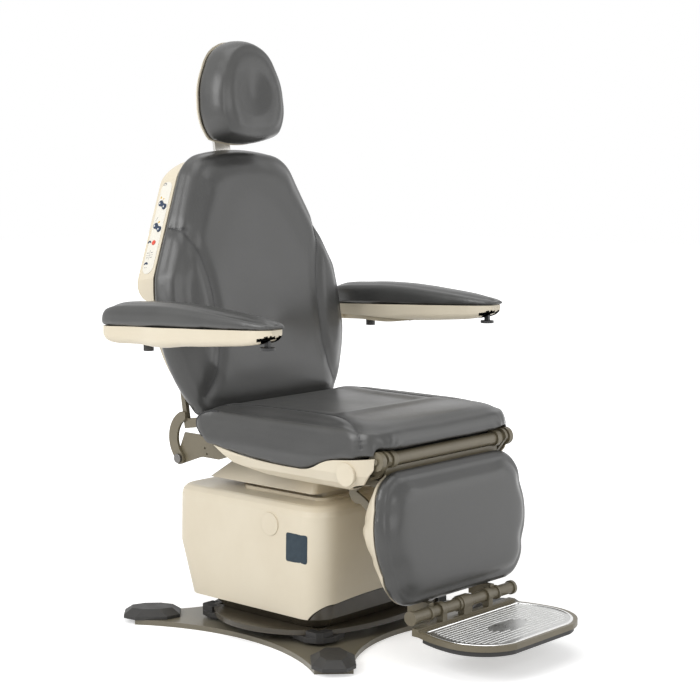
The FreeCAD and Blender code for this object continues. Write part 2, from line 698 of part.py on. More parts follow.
# Base: steel plate, rubber caps and the fixed bearing race
DIAGONAL_SHARE = math.sqrt(0.5)
brake_corner = (s.rail_x + s.rail_y + (s.rail_width + s.seat_gap + s.block_width) * 2) * DIAGONAL_SHARE
cap_place = brake_corner + s.cap_clear + s.cap_length / 2
foot_end = cap_place + s.foot_past
tip_out = (foot_end + s.foot_width / 2) * DIAGONAL_SHARE
tip_in = (foot_end - s.foot_width / 2) * DIAGONAL_SHARE
plate_outline = [
    (tip_out, tip_in),
    (tip_in, tip_out, 0, s.front_waist),
    (-tip_in, tip_out),
    (-tip_out, tip_in, -s.side_waist, 0),
    (-tip_out, -tip_in),
    (-tip_in, -tip_out, 0, -s.front_waist),
    (tip_in, -tip_out),
    (tip_out, -tip_in, s.side_waist, 0),
]
part("base_plate", profile("XY", 0, s.plate_thick, plate_outline))

CAP_NOSE_SHARE = 0.22
CAP_END_SHARE = 0.27


def cap_outline(inset):
    """A foot cap's eight-sided outline, drawn in evenly, with its length along X."""
    half = n.cap_length / 2 - inset
    side = n.cap_width / 2 - inset
    nose = n.cap_length * CAP_NOSE_SHARE
    end = side * CAP_END_SHARE * 2
    return [(-half, -end), (-half + nose, -side), (half - nose, -side), (half, -end),
            (half, end), (half - nose, side), (-half + nose, side), (-half, end)]


def foot_cap():
    low = n.plate_thick
    shoulder = low + n.cap_shoulder
    high = low + n.cap_height
    lower = loft([ring(cap_outline(0), at_z(low)), ring(cap_outline(0), at_z(shoulder))], True)
    upper = loft([ring(cap_outline(0), at_z(shoulder)),
                  ring(cap_outline(n.cap_inset), at_z(high))], True)
    cap = lower.fuse(upper).removeSplitter()
    cap.translate(Vector(float(cap_place), 0, 0))
    return cap


cap = foot_cap()
caps = []
for quarter in range(4):
    turned = cap.copy()
    turned.rotate(Vector(), Vector(0, 0, 1), 45 + 90 * quarter)
    caps.append(turned)
part("foot_caps", shape(Part.makeCompound(caps)))

race_top = s.plate_thick + s.race_height
part("bearing_lower_race", tube("z", s.race_outer, s.race_inner, s.plate_thick, race_top, 0, 0))

# Turntable: upper race, chassis with the column foot, drive and control units
upper_race_low = race_top + s.seat_gap
chassis_low = upper_race_low + s.race_height
chassis_top = chassis_low + s.chassis_thick
part("bearing_upper_race", tube("z", s.race_outer, s.race_inner, upper_race_low, chassis_low, 0, 0))

chassis_outline = [
    (s.chassis_half, s.chassis_depth),
    (-s.chassis_half, s.chassis_depth),
    (-s.chassis_half, -s.chassis_depth),
    (s.chassis_half, -s.chassis_depth),
]
chassis_plate = profile("XY", chassis_low, chassis_top, chassis_outline)
tower_top = chassis_top + s.tower_height
cheek = box(s.tower_x - s.tower_thick, s.tower_x, -s.tower_depth, s.tower_depth,
            chassis_top, tower_top)
bosses = [
    rod("z", s.chassis_boss, chassis_top, s.tray_low, sign_x * s.boss_x, sign_y * s.boss_y)
    for sign_x in (1, -1) for sign_y in (1, -1)
]
part("chassis_frame", fuse(chassis_plate, cheek, mirrored(cheek), *bosses))

# Foot brake: a ring of four bars on rails, with a rubber block at each corner
rail_out_x = s.rail_x + s.rail_width
rail_out_y = s.rail_y + s.rail_width
rails = profile(
    "XY", s.rail_low, s.brake_high,
    [(rail_out_x, rail_out_y), (-rail_out_x, rail_out_y),
     (-rail_out_x, -rail_out_y), (rail_out_x, -rail_out_y)],
    [(s.rail_x, s.rail_y), (-s.rail_x, s.rail_y), (-s.rail_x, -s.rail_y), (s.rail_x, -s.rail_y)])
side_reach = rail_out_y - s.bar_short
front_reach = rail_out_x - s.bar_short
side_bar = profile("XY", s.brake_low, s.brake_high, [
    (rail_out_x - s.rail_width / 2, -side_reach),
    (rail_out_x + s.bar_end, -side_reach, rail_out_x + s.bar_bulge_x, 0),
    (rail_out_x + s.bar_end, side_reach),
    (rail_out_x - s.rail_width / 2, side_reach)])
front_bar = profile("XY", s.brake_low, s.brake_high, [
    (-front_reach, -rail_out_y + s.rail_width / 2),
    (-front_reach, -rail_out_y - s.bar_end, 0, -rail_out_y - s.bar_bulge_y),
    (front_reach, -rail_out_y - s.bar_end),
    (front_reach, -rail_out_y + s.rail_width / 2)])
part("brake_bars", fuse(rails, side_bar, mirrored(side_bar), front_bar,
                        mirrored(front_bar, Vector(0, 1, 0))))

block_low = s.plate_thick + s.brake_travel + s.run_gap * 2
block_in_x = rail_out_x + s.seat_gap
block_in_y = rail_out_y + s.seat_gap
block_start_x = front_reach + s.run_gap
block_start_y = side_reach + s.run_gap
block_upright = profile("XY", s.brake_low - s.run_gap * 2, s.brake_high, [
    (block_start_x, block_in_y), (block_in_x, block_in_y), (block_in_x, block_start_y),
    (block_in_x + s.block_width, block_start_y),
    (block_in_x + s.block_width, block_in_y + s.block_width / 2),
    (block_in_x + s.block_width / 2, block_in_y + s.block_width),
    (block_start_x, block_in_y + s.block_width)])
block_skid = profile("XY", block_low, s.brake_low - s.seat_gap, [
    (block_in_x - s.skid_leg, block_in_y - s.skid_inner),
    (block_in_x - s.skid_inner, block_in_y - s.skid_leg),
    (block_in_x + s.block_width, block_in_y - s.skid_leg),
    (block_in_x + s.block_width + s.skid_inner / 2, block_in_y - s.skid_inner),
    (block_in_x + s.block_width, block_in_y + s.block_width / 2),
    (block_in_x + s.block_width / 2, block_in_y + s.block_width),
    (block_in_x - s.skid_inner, block_in_y + s.block_width + s.skid_inner / 2),
    (block_in_x - s.skid_leg, block_in_y + s.block_width)])
right_block = fuse(block_upright, block_skid)
front_blocks = group(right_block, mirrored(right_block))
part("brake_blocks", group(front_blocks, mirrored(front_blocks, Vector(0, 1, 0))))


# Lower tray with its toe kick, and the base cover over it
def arch_prism(grow, front, rear):
    """The arched outline of the toe kick, pushed from front to rear."""
    foot = n.tray_rim - n.overrun
    half = n.kick_half + grow
    flat = n.kick_half - n.kick_round
    high = n.kick_high + grow
    shoulder = high - n.kick_drop
    via_x = half - (half - flat) * ROUND_VIA_SHARE
    via_z = shoulder - (shoulder - n.tray_rim) * ROUND_VIA_SHARE
    return prism([
        (-half, foot),
        (half, foot),
        (half, n.tray_rim + grow, via_x, via_z),
        (flat, shoulder, 0, high),
        (-flat, shoulder, -via_x, via_z),
        (-half, n.tray_rim + grow),
    ], at_y(-front), Vector(0, front - rear, 0))


def tray_form(inset, low, high):
    wires = []
    for z, draw in ((low, n.tray_undercut), (n.tray_rim, 0), (high, 0)):
        shrink = inset + draw
        wires.append(ring(rounded(
            -n.tray_half + shrink, n.tray_half - shrink, -n.tray_front + shrink,
            n.tray_rear - shrink, n.tray_round - inset), at_z(z)))
    return loft(wires, True)


def lower_tray():
    outer = tray_form(0, n.tray_low, n.kick_high)
    inner = tray_form(n.tray_wall, n.tray_low + n.tray_wall, n.kick_high)
    solid = outer.cut(inner)
    span = n.cover_half
    rim_part = block(-span, span, -span, span, n.tray_low, n.tray_rim)
    kick = arch_prism(-n.tray_wall, n.cover_front, n.tray_front / 2)
    solid = solid.common(rim_part.fuse(kick))
    hole = block(-n.neck_x, n.neck_x, -n.neck_front, n.neck_rear, 0, n.tray_rim)
    return solid.cut(hole).removeSplitter()


part("lower_tray", shape(lower_tray()))


def cover_form(inset):
    """The cream cover's outside, or its inside when drawn in by the wall."""
    low = n.tray_rim + n.seat_gap
    slope = n.cover_half - n.cover_top_half
    wires = []
    levels = [(low, 0, 0), (n.cover_break, 1, 0), (n.cover_shoulder, 1, 0)]
    for turn in (30, 60, 80):
        angle = math.radians(turn)
        levels.append((n.cover_shoulder + (n.cover_top - n.cover_shoulder) * math.sin(angle),
                       1, n.cover_edge * (1 - math.cos(angle))))
    for z, share, draw in levels:
        shrink = inset + draw
        half = n.cover_half - slope * (z - low) / (n.cover_top - low) - shrink
        rear = n.cover_rear_low + (n.cover_rear_high - n.cover_rear_low) * share - shrink
        height = z if z > low or not inset else z - n.overrun
        lower = inset if z > n.cover_shoulder else 0
        wires.append(ring(rounded(-half, half, -n.cover_front + shrink, rear,
                                  n.cover_corner - shrink / 2, n.cover_rear_corner - shrink / 2),
                          at_z(height - lower)))
    return loft(wires, True)


def neck_opening(grow, low, high):
    half = n.neck_x + n.neck_wall + n.run_gap + grow
    front = n.neck_front + n.neck_wall + n.run_gap + grow
    rear = n.neck_rear + n.neck_wall + n.run_gap + grow
    return prism(rounded(-half, half, -front, rear, n.neck_round + grow), at_z(low),
                 Vector(0, 0, high - low))


def oval_disc(x, y, z, half_y, half_z, thick):
    """An upright oval plate that faces along X."""
    side = half_z * ROUND_VIA_SHARE
    across = half_y * ROUND_VIA_SHARE
    return prism([
        (y - half_y, z, y - half_y + across, z + half_z - side),
        (y, z + half_z, y + half_y - across, z + half_z - side),
        (y + half_y, z, y + half_y - across, z - half_z + side),
        (y, z - half_z, y - half_y + across, z - half_z + side),
    ], at_x(x), Vector(thick, 0, 0))


def base_cover():
    solid = cover_form(0).cut(cover_form(n.cover_wall))
    solid = solid.cut(arch_prism(n.seat_gap * 2, n.cover_front + n.overrun, n.tray_front / 2))
    top = n.cover_top - n.cover_wall
    flange = neck_opening(n.flange_width, top, n.cover_top + n.flange_height)
    rim = n.cover_wall * 2
    well = neck_opening(rim, top + n.flange_height, n.cover_top + n.flange_height + n.overrun)
    solid = solid.fuse(flange).cut(neck_opening(rim, 0, n.cover_top + n.flange_height * 2))
    solid = solid.cut(well)
    badge_x = n.cover_half - (n.cover_half - n.cover_top_half) * (
        n.badge_z - n.tray_rim) / (n.cover_top - n.tray_rim)
    badge = oval_disc(badge_x - n.cover_wall / 2, -n.badge_y, n.badge_z,
                      n.badge_width / 2, n.badge_height / 2, n.badge_proud + n.cover_wall / 2)
    solid = solid.fuse([badge, mirror_shape(badge)])
    half = n.inlet_width / 2 - n.cover_wall
    tall = n.inlet_height / 2 - n.cover_wall
    inlet_hole = block(-half, half, n.cover_rear_high - n.overrun * 2,
                       n.cover_rear_high + n.overrun, n.inlet_z - tall, n.inlet_z + tall)
    return solid.cut(inlet_hole).removeSplitter()


part("base_cover", shape(base_cover()))

# Power inlet in the rear of the cover
inlet_in_x = s.inlet_width / 2 - s.cover_wall - s.seat_gap
inlet_in_z = s.inlet_height / 2 - s.cover_wall - s.seat_gap
inlet_face = s.cover_rear_high + s.inlet_flange
inlet_body = box(-inlet_in_x, inlet_in_x, s.cover_rear_high - s.inlet_deep, s.cover_rear_high,
                 s.inlet_z - inlet_in_z, s.inlet_z + inlet_in_z)
inlet_plate = box(-s.inlet_width / 2, s.inlet_width / 2, s.cover_rear_high, inlet_face,
                  s.inlet_z - s.inlet_height / 2, s.inlet_z + s.inlet_height / 2)
inlet_recess = box(-s.inlet_hole_x / 2, s.inlet_hole_x / 2, inlet_face - s.inlet_hole_deep,
                   inlet_face + s.overrun, s.inlet_z - s.inlet_hole_z / 2,
                   s.inlet_z + s.inlet_hole_z / 2)
blades = [
    box(s.blade_pitch * place - s.blade_thick / 2, s.blade_pitch * place + s.blade_thick / 2,
        inlet_face - s.inlet_hole_deep - s.inlet_flange, inlet_face - s.inlet_flange * 2,
        s.inlet_z - s.blade_width / 2, s.inlet_z + s.blade_width / 2)
    for place in (-1, 0, 1)
]
part("power_inlet", fuse(cut(fuse(inlet_body, inlet_plate), inlet_recess), *blades))

# Lift motor with its gear case, and the control box, on the tray's floor
motor_floor = s.tray_low + s.tray_wall + s.run_gap + s.seat_gap
gear_case = box(s.motor_x - s.gear_half, s.motor_x + s.gear_half, -s.motor_length / 2 - s.gear_length,
                -s.motor_length / 2, motor_floor, s.motor_z + s.gear_half)
motor_can = rod("y", s.motor_radius, -s.motor_length / 2, s.motor_length / 2, s.motor_x, s.motor_z)
motor_saddle = box(s.motor_x - s.motor_radius / 2, s.motor_x + s.motor_radius / 2,
                   s.motor_length / 4, s.motor_length / 2, motor_floor, s.motor_z)
part("lift_motor", fuse(gear_case, motor_can, motor_saddle))
part("control_box", box(-s.control_x - s.control_width, -s.control_x, -s.control_half,
                        s.control_half, motor_floor, motor_floor + s.control_height))


# Lift column: three nested stages
def column_stage(order, low, high, floor=True):
    """One stage of the column; order counts inwards from the outermost."""
    shrink = (s.stage_wall + s.run_gap) * order
    half_x = s.stage_x - shrink
    half_y = s.stage_y - shrink
    tube_part = frame_box(half_x, half_y, half_y, s.stage_wall, low, high)
    if not floor:
        return tube_part
    return fuse(tube_part, box(-half_x, half_x, -half_y, half_y, low, low + s.stage_wall))


part("column_outer", column_stage(0, chassis_top, s.stage_top))
mid_low = chassis_top + s.stage_lift
part("column_mid", column_stage(1, mid_low, s.stage_top + s.stage_step))
inner_low = mid_low + s.stage_lift
frame_top = s.parting_low_z - s.seat_gap
frame_low = frame_top - s.frame_thick
part("column_inner", column_stage(2, inner_low, frame_low, floor=False))


# Neck covers that telescope round the column
def neck_sleeve(half, front, rear, round_, low, high):
    outer = prism(rounded(-half, half, -front, rear, round_), at_z(low), Vector(0, 0, high - low))
    wall = n.neck_wall
    inner = prism(rounded(wall - half, half - wall, wall - front, rear - wall, round_ - wall),
                  at_z(low - n.overrun), Vector(0, 0, high - low + 2 * n.overrun))
    return outer.cut(inner)


def skirt_form(inset):
    low = rounded(-n.skirt_x + inset, n.skirt_x - inset, -n.skirt_front + inset,
                  n.skirt_rear - inset, n.neck_round)
    high = rounded(-n.skirt_top_x + inset, n.skirt_top_x - inset, -n.skirt_front + inset,
                   n.skirt_top_rear - inset, n.neck_round)
    drop = n.overrun if inset else 0
    return loft([ring(low, at_z(n.skirt_low - drop)), ring(high, at_z(n.skirt_high - inset))], True)


def neck_cover_upper():
    sleeve = neck_sleeve(n.neck_x, n.neck_front, n.neck_rear, n.neck_round, n.neck_low,
                         n.skirt_high)
    skirt = skirt_form(0).cut(skirt_form(n.neck_wall))
    wall = n.neck_wall
    bore = block(wall - n.neck_x, n.neck_x - wall, wall - n.neck_front, n.neck_rear - wall,
                 n.skirt_low - n.overrun, n.skirt_high + n.overrun)
    return sleeve.fuse(skirt.cut(bore)).removeSplitter()


mid_grow = n.neck_wall + n.run_gap
part("neck_cover_upper", shape(neck_cover_upper()))
part("neck_cover_mid", shape(neck_sleeve(
    n.neck_x + mid_grow, n.neck_front + mid_grow, n.neck_rear + mid_grow,
    n.neck_round + mid_grow, n.neck_mid_low, n.neck_mid_top)))

# Seat frame: plate on the column, hinge cheeks at the rear and struts to the leg pivot
frame_plate = box(-s.cheek_x, s.cheek_x, -s.frame_front, s.frame_rear, frame_low, frame_top)
cheek_out = s.cheek_x + s.cheek_thick
parting_rear = s.parting_rear_z - s.seat_gap
heel_slope = (s.seat_rear - s.seat_heel) / (s.seat_edge_z - s.parting_rear_z)
cheek_rise = s.seat_heel + (s.cheek_top - s.parting_rear_z) * heel_slope
hinge_diagonal = s.hinge_round * DIAGONAL_SHARE
cheek_body = profile("YZ", s.cheek_x, cheek_out, [
    (s.hinge_y, s.hinge_z - s.hinge_round),
    (s.cheek_dip_y, s.cheek_dip_z),
    (s.shell_rear + s.cheek_thick * 2, s.cheek_dip_z),
    (s.frame_rear - s.cheek_thick * 2, frame_low - s.frame_thick / 2),
    (-s.cheek_dip_y / 2, frame_low - s.frame_thick / 2),
    (-s.cheek_dip_y / 2, frame_top),
    (s.cheek_dip_y / 4, frame_top),
    (s.shell_rear, parting_rear - s.frame_thick),
    (s.seat_heel + s.run_gap, parting_rear - s.frame_thick / 2),
    (cheek_rise + s.cheek_thick, s.cheek_top),
    (s.cheek_back, s.cheek_top),
    (s.hinge_y + s.hinge_round, s.hinge_z, s.hinge_y + hinge_diagonal, s.hinge_z - hinge_diagonal),
], circles=[
    (s.hinge_y, s.hinge_z, s.shaft_thick + s.run_gap),
    (s.hole_a_y, s.hole_a_z, s.cheek_hole),
    (s.hole_b_y, s.hole_b_z, s.cheek_hole)])
strut_diagonal = s.collar_radius * DIAGONAL_SHARE
strut = profile("YZ", s.strut_x, s.strut_x + s.strut_thick, [
    (-s.frame_front, frame_low),
    (-s.frame_front + s.collar_radius * 4, frame_low),
    (-s.frame_front + s.collar_radius * 4, frame_top),
    (-s.leg_y + s.collar_radius, s.leg_z, -s.leg_y + strut_diagonal, s.leg_z + strut_diagonal),
    (-s.leg_y, s.leg_z + s.collar_radius, -s.leg_y - strut_diagonal, s.leg_z + strut_diagonal),
    (-s.leg_y - s.collar_radius, s.leg_z),
    (-s.frame_front - s.collar_radius / 2, frame_top)],
    circles=[(-s.leg_y, s.leg_z, s.tube_radius)])
ram_ear_low = s.leg_ram_root_z - s.ram_eye


def ram_ear(x, y, z):
    """A pair of ears under the frame plate that carry a ram's fixed eye."""
    ears = []
    for side in (-1, 1):
        near = x + side * (s.ram_eye / 2 + s.run_gap)
        far = x + side * (s.ram_eye / 2 + s.run_gap + s.lug_thick)
        low, high = (near, far) if side > 0 else (far, near)
        ears.append(box(low, high, y - s.ram_eye, y + s.ram_eye, z - s.ram_eye, frame_low))
    pin = rod("x", s.ram_pin, x - s.ram_eye, x + s.ram_eye, y, z)
    return ears + [pin]


leg_ears = ram_ear(-s.leg_ram_x, -s.leg_ram_root_y, s.leg_ram_root_z)
back_ears = ram_ear(s.back_ram_x, -s.back_ram_root_y, s.back_ram_root_z)
part("seat_frame", fuse(frame_plate, cheek_body, mirrored(cheek_body), strut, mirrored(strut),
                        *leg_ears, *back_ears))

# Leg pivot: a tube through the struts with a collar and a bolt at each end
pivot_tube = tube("x", s.tube_radius, s.tube_radius - s.tube_wall, -s.tube_half, s.tube_half,
                  -s.leg_y, s.leg_z)
part("leg_pivot_tube", pivot_tube)
collar_out = s.collar_x + s.collar_width
collar = cut(rod("x", s.collar_radius, s.collar_x, collar_out, -s.leg_y, s.leg_z),
             rod("x", s.tube_radius, s.collar_x - s.overrun, s.tube_half, -s.leg_y, s.leg_z))
collar_bolt = rod("x", s.tube_radius / 2, collar_out, collar_out + s.bolt_stand,
                  -s.leg_y, s.leg_z)
end_collar = fuse(collar, collar_bolt)
part("pivot_collars", group(end_collar, mirrored(end_collar)))

PARTING_SAG_SHARE = 0.2
PARTING_LOW_SHARES = (0.3, 0.13)
PARTING_MID_SHARES = (0.53, 0.48)
PARTING_HIGH_SHARES = (0.76, 0.83)


def parting_line(lift, rear):
    """The line between cushion and shell from rear to front, raised by lift."""
    low = (-n.parting_low_y, n.parting_low_z)
    step = (-n.parting_step_y, n.parting_step_z)

    def between(shares):
        return (low[0] + (step[0] - low[0]) * shares[0],
                low[1] + (step[1] - low[1]) * shares[1] + lift)

    sag_y = (n.shell_rear - n.parting_low_y) / 2
    sag_z = n.parting_low_z + (n.parting_rear_z - n.parting_low_z) * PARTING_SAG_SHARE
    low_via = between(PARTING_LOW_SHARES)
    middle = between(PARTING_MID_SHARES)
    high_via = between(PARTING_HIGH_SHARES)
    return [
        (rear, n.parting_rear_z + lift),
        (n.shell_rear, n.parting_rear_z + lift, sag_y, sag_z + lift),
        (low[0], low[1] + lift, low_via[0], low_via[1]),
        (middle[0], middle[1], high_via[0], high_via[1]),
        (step[0], step[1] + lift),
        (-n.shell_nose, n.parting_tip_z + lift),
    ]


def seat_shell_form(inset):
    """The shell's outside as plan outlines that widen upwards."""
    wires = []
    width_shares = (0.83, 0.9, 0.955, 0.99, 1)
    height_shares = (0, 0.08, 0.24, 0.5, 1)
    top = n.seat_top
    for wide, tall in zip(width_shares, height_shares):
        half = n.shell_half * wide - inset
        z = n.shell_low + inset + (n.parting_tip_z - n.shell_low) * tall
        front = n.seat_front * (wide + 1) / 2 - inset
        wires.append(ring(rounded(-half, half, -front, n.seat_rear, n.seat_round_front - inset,
                                  n.seat_round_rear), at_z(z)))
    half = n.shell_half - inset
    wires.append(ring(rounded(-half, half, -n.seat_front + inset, n.seat_rear,
                              n.seat_round_front - inset, n.seat_round_rear), at_z(top)))
    return loft(wires, True)


def seat_shell():
    span = Vector(2 * n.seat_half, 0, 0)
    line = parting_line(0, n.shell_rear)[1:]
    nose = (n.nose_low_y - n.shell_flat_front) / 2
    outline = line + [
        (-n.nose_notch_y, n.nose_notch_z),
        (-n.nose_low_y, n.nose_low_z, -n.shell_flat_front - nose, n.shell_low + nose / 2),
        (-n.shell_flat_front, n.shell_low),
        (-n.shell_flat_rear, n.shell_low),
        (n.shell_heel_y, n.shell_heel_z),
    ]
    side = prism(outline, at_x(-n.seat_half), span)
    solid = seat_shell_form(0).cut(seat_shell_form(n.shell_wall)).common(side)
    room = n.collar_x + n.collar_width + n.bolt_stand + n.run_gap * 2
    solid = solid.cut(block(-room, room, -n.seat_front, -n.frame_front + n.run_gap,
                            n.shell_low - n.overrun, n.seat_top))
    neck = n.neck_x - n.neck_wall
    solid = solid.cut(block(-neck, neck, -n.neck_front, n.shell_rear + n.overrun,
                            n.shell_low - n.overrun, n.parting_low_z))
    cheek_in = n.cheek_x - n.run_gap * 2
    cheek_far = n.cheek_x + n.cheek_thick + n.run_gap * 2
    for low, high in ((cheek_in, cheek_far), (-cheek_far, -cheek_in)):
        solid = solid.cut(block(low, high, -n.cheek_dip_y / 2 - n.run_gap * 2,
                                n.shell_rear + n.overrun, n.shell_low - n.overrun,
                                n.seat_top))
    ram_room = n.ram_radius + n.run_gap * 2
    solid = solid.cut(block(n.back_ram_x - ram_room, n.back_ram_x + ram_room,
                            -n.back_ram_root_y - ram_room, n.shell_rear + n.overrun,
                            n.shell_low - n.overrun, n.parting_low_z))
    lever_in = n.leg_ram_x - n.ram_eye - n.run_gap * 2
    lever_out = n.lever_plate_x + n.leg_bar_thick + n.run_gap * 2
    for low, high in ((lever_in, lever_out), (-lever_out, -lever_in)):
        solid = solid.cut(block(low, high, -n.seat_front, -n.strap_back_y + ram_room,
                                n.shell_low - n.overrun, n.parting_low_z))
    boss = oval_disc(n.shell_half - n.shell_wall, -n.boss_place_y, n.boss_place_z, n.boss_radius,
                     n.boss_radius, n.shell_wall + n.boss_proud)
    return solid.fuse([boss, mirror_shape(boss)]).removeSplitter()


SEAT_FALL_SHARES = (0.62, 0.62)


def seat_cushion():
    """A crowned pad whose sides pull in above the shell and whose front rolls over."""
    bottom = n.parting_low_z - n.overrun
    height = n.seat_top - bottom
    level_shares = (0, 0.22, 0.45, 0.66, 0.82, 0.93, 0.985, 1)
    side_shares = (0.06, 0.015, 0, 0, 0.04, 0.14, 0.3, 0.62)
    front_shares = (0.05, 0.01, 0, 0.03, 0.12, 0.3, 0.55, 1)
    wires = []
    for level, side, nose in zip(level_shares, side_shares, front_shares):
        half = n.seat_half - n.seat_round_front * side
        front = n.seat_front - n.seat_round_front * nose
        rear = n.seat_rear - n.seat_round_rear * side
        wires.append(ring(rounded(-half, half, -front, rear, n.seat_round_front,
                                  n.seat_round_rear), at_z(bottom + height * level)))
    body = loft(wires)
    line = parting_line(n.seat_gap, n.seat_heel)
    slope = n.seat_rear - n.seat_slope
    fall = n.seat_top - n.seat_edge_z
    outline = line + [(-n.seat_front - n.overrun, n.parting_tip_z + n.seat_gap),
                      (-n.seat_front - n.overrun, n.seat_top + n.overrun),
                      (slope, n.seat_top + n.overrun),
                      (slope, n.seat_top, slope + n.seat_slope * SEAT_FALL_SHARES[0],
                       n.seat_edge_z + fall * SEAT_FALL_SHARES[1]),
                      (n.seat_rear - n.seat_gap, n.seat_edge_z)]
    above = prism(outline, at_x(-n.seat_half - n.overrun),
                  Vector(2 * n.seat_half + 2 * n.overrun, 0, 0))
    room = n.collar_x + n.collar_width + n.bolt_stand + n.run_gap * 2
    relief = block(-room, room, -n.seat_front - n.overrun, -n.frame_front, 0,
                   n.leg_z + n.collar_radius + n.run_gap)
    return body.common(above).cut(relief).removeSplitter()


part("seat_shell", shape(seat_shell()))
part("seat_cushion", shape(seat_cushion()))

# Back hinge: crescent arms on a shaft that carries the back actuator's lever
crescent_in = cheek_out + s.run_gap
crescent_out = crescent_in + s.arm_thick
ring_y = s.hinge_y - hinge_diagonal
ring_z = s.hinge_z + hinge_diagonal
crescent = profile("YZ", crescent_in, crescent_out, [
    (s.crescent_top_y, s.crescent_top_z),
    (s.crescent_in_y, s.crescent_top_z),
    (s.crescent_in_y, s.crescent_in_z, s.crescent_y - s.crescent_width, s.crescent_z),
    (ring_y, ring_z, s.hinge_y - hinge_diagonal, s.hinge_z - hinge_diagonal),
    (s.hinge_y, s.hinge_z - s.hinge_round, s.hinge_y + hinge_diagonal, s.hinge_z - hinge_diagonal),
    (s.hinge_y + s.hinge_round, s.hinge_z, s.crescent_y, s.crescent_z),
], circles=[(s.hinge_y, s.hinge_z, s.shaft_thick)])
part("hinge_arms", group(crescent, mirrored(crescent)))

hinge_bar = rod("x", s.shaft_thick, -crescent_out, crescent_out, s.hinge_y, s.hinge_z)
bolt_head = rod("x", s.shaft_head, crescent_out, crescent_out + s.shaft_head_thick,
                s.hinge_y, s.hinge_z)
lever_high = s.hinge_z + s.shaft_thick
back_lever_x = s.back_ram_x + s.ram_rod + s.run_gap
back_lever = profile("YZ", back_lever_x, back_lever_x + s.lug_thick, [
    (s.hinge_y + s.hinge_round, s.hinge_z),
    (s.hinge_y, s.hinge_z + s.hinge_round),
    (s.hinge_y - s.hinge_round, s.hinge_z),
    (s.back_lug_y - s.ram_eye, s.back_lug_z),
    (s.back_lug_y, s.back_lug_z - s.ram_eye),
    (s.back_lug_y + s.ram_eye, s.back_lug_z)])
part("hinge_shaft", fuse(hinge_bar, bolt_head, mirrored(bolt_head), back_lever))

# Back, modelled upright: X across, Y to the rear of the cushion's back plane, Z along the back
back_place = FreeCAD.Placement(Vector(0, n.back_y, n.back_z),
                               Rotation(Vector(1, 0, 0), -n.back_lean))


def lean_back(piece):
    """Puts a back piece, modelled upright, at its place on the leaning back."""
    piece.Placement = back_place.multiply(piece.Placement)
    bind(piece, "Placement.Base.y", s.back_y)
    bind(piece, "Placement.Base.z", s.back_z)
    return piece


SIDE_VIA_SHARES = (0.74, 0.457)
BELLY_VIA_SHARES = (0.27, 0.55)
SHOULDER_VIA_SHARES = (0.40, 0.60)
BACK_CORNER_SHARE = 0.07


TUCK_WIDE_SHARE = 0.15


def back_outline(inset, tuck=0):
    """The back's outline from the front, drawn in by inset, and by tuck at its foot."""
    middle = (n.back_top - n.back_bottom) / 2
    scale = 1 - inset / (n.back_top - middle)
    corner = n.back_foot_half * BACK_CORNER_SHARE

    def spot(half, along):
        return half - inset, middle + (along - middle) * scale

    def between(first, second, shares):
        half = first[0] + (second[0] - first[0]) * shares[0]
        return spot(half, first[1] + (second[1] - first[1]) * shares[1])

    foot = (n.back_foot_half - tuck, corner - n.back_bottom)
    sole = (n.back_foot_half - tuck - corner, -n.back_bottom)
    wide = (n.back_wide_half - tuck * TUCK_WIDE_SHARE, n.back_wide_at)
    low = (n.flank_low_half, n.flank_low_at)
    high = (n.flank_high_half, n.flank_high_at)
    crown = (n.crown_half, n.crown_at)
    corner_via = spot(foot[0] - corner * ROUND_VIA_SHARE, sole[1] + corner * ROUND_VIA_SHARE)
    right = [
        spot(*sole) + corner_via,
        spot(*foot) + between(foot, wide, SIDE_VIA_SHARES),
        spot(*wide) + between(wide, low, BELLY_VIA_SHARES),
        spot(*low),
        spot(*high) + between(high, crown, SHOULDER_VIA_SHARES),
        spot(*crown) + (0, spot(0, n.back_top)[1]),
    ]
    left = []
    for index in range(len(right) - 1, -1, -1):
        point = (-right[index][0], right[index][1])
        before = right[index - 1]
        if index and len(before) == 4:
            point = point + (-before[2], before[3])
        left.append(point)
    return right + left


BACK_BULGE_SHARE = 0.11


def back_cushion():
    depth_shares = (0, 0.19, 0.45, 0.7, 0.87, 0.97, 1)
    inset_shares = (0.1, -0.05, -BACK_BULGE_SHARE, -0.03, 0.13, 0.5, 1.1)
    wires = [ring(back_outline(n.back_thick * inset), at_y(-n.back_thick * depth))
             for depth, inset in zip(depth_shares, inset_shares)]
    return loft(wires)


RIM_INSET_SHARE = 0.08


def back_shell_form(inset):
    depth_shares = (0, 0.45, 0.78, 1)
    draw_shares = (0, 0.04, 0.3, 1.15)
    rim = n.back_thick * RIM_INSET_SHARE - n.back_shell_proud
    wires = []
    for depth, draw in zip(depth_shares, draw_shares):
        y = n.seat_gap + (n.back_shell_deep - inset - n.seat_gap) * depth
        y -= n.overrun if inset and not depth else 0
        drawn = rim + n.back_shell_deep * draw + inset
        wires.append(ring(back_outline(drawn, n.shell_tuck), at_y(y)))
    return loft(wires, True)


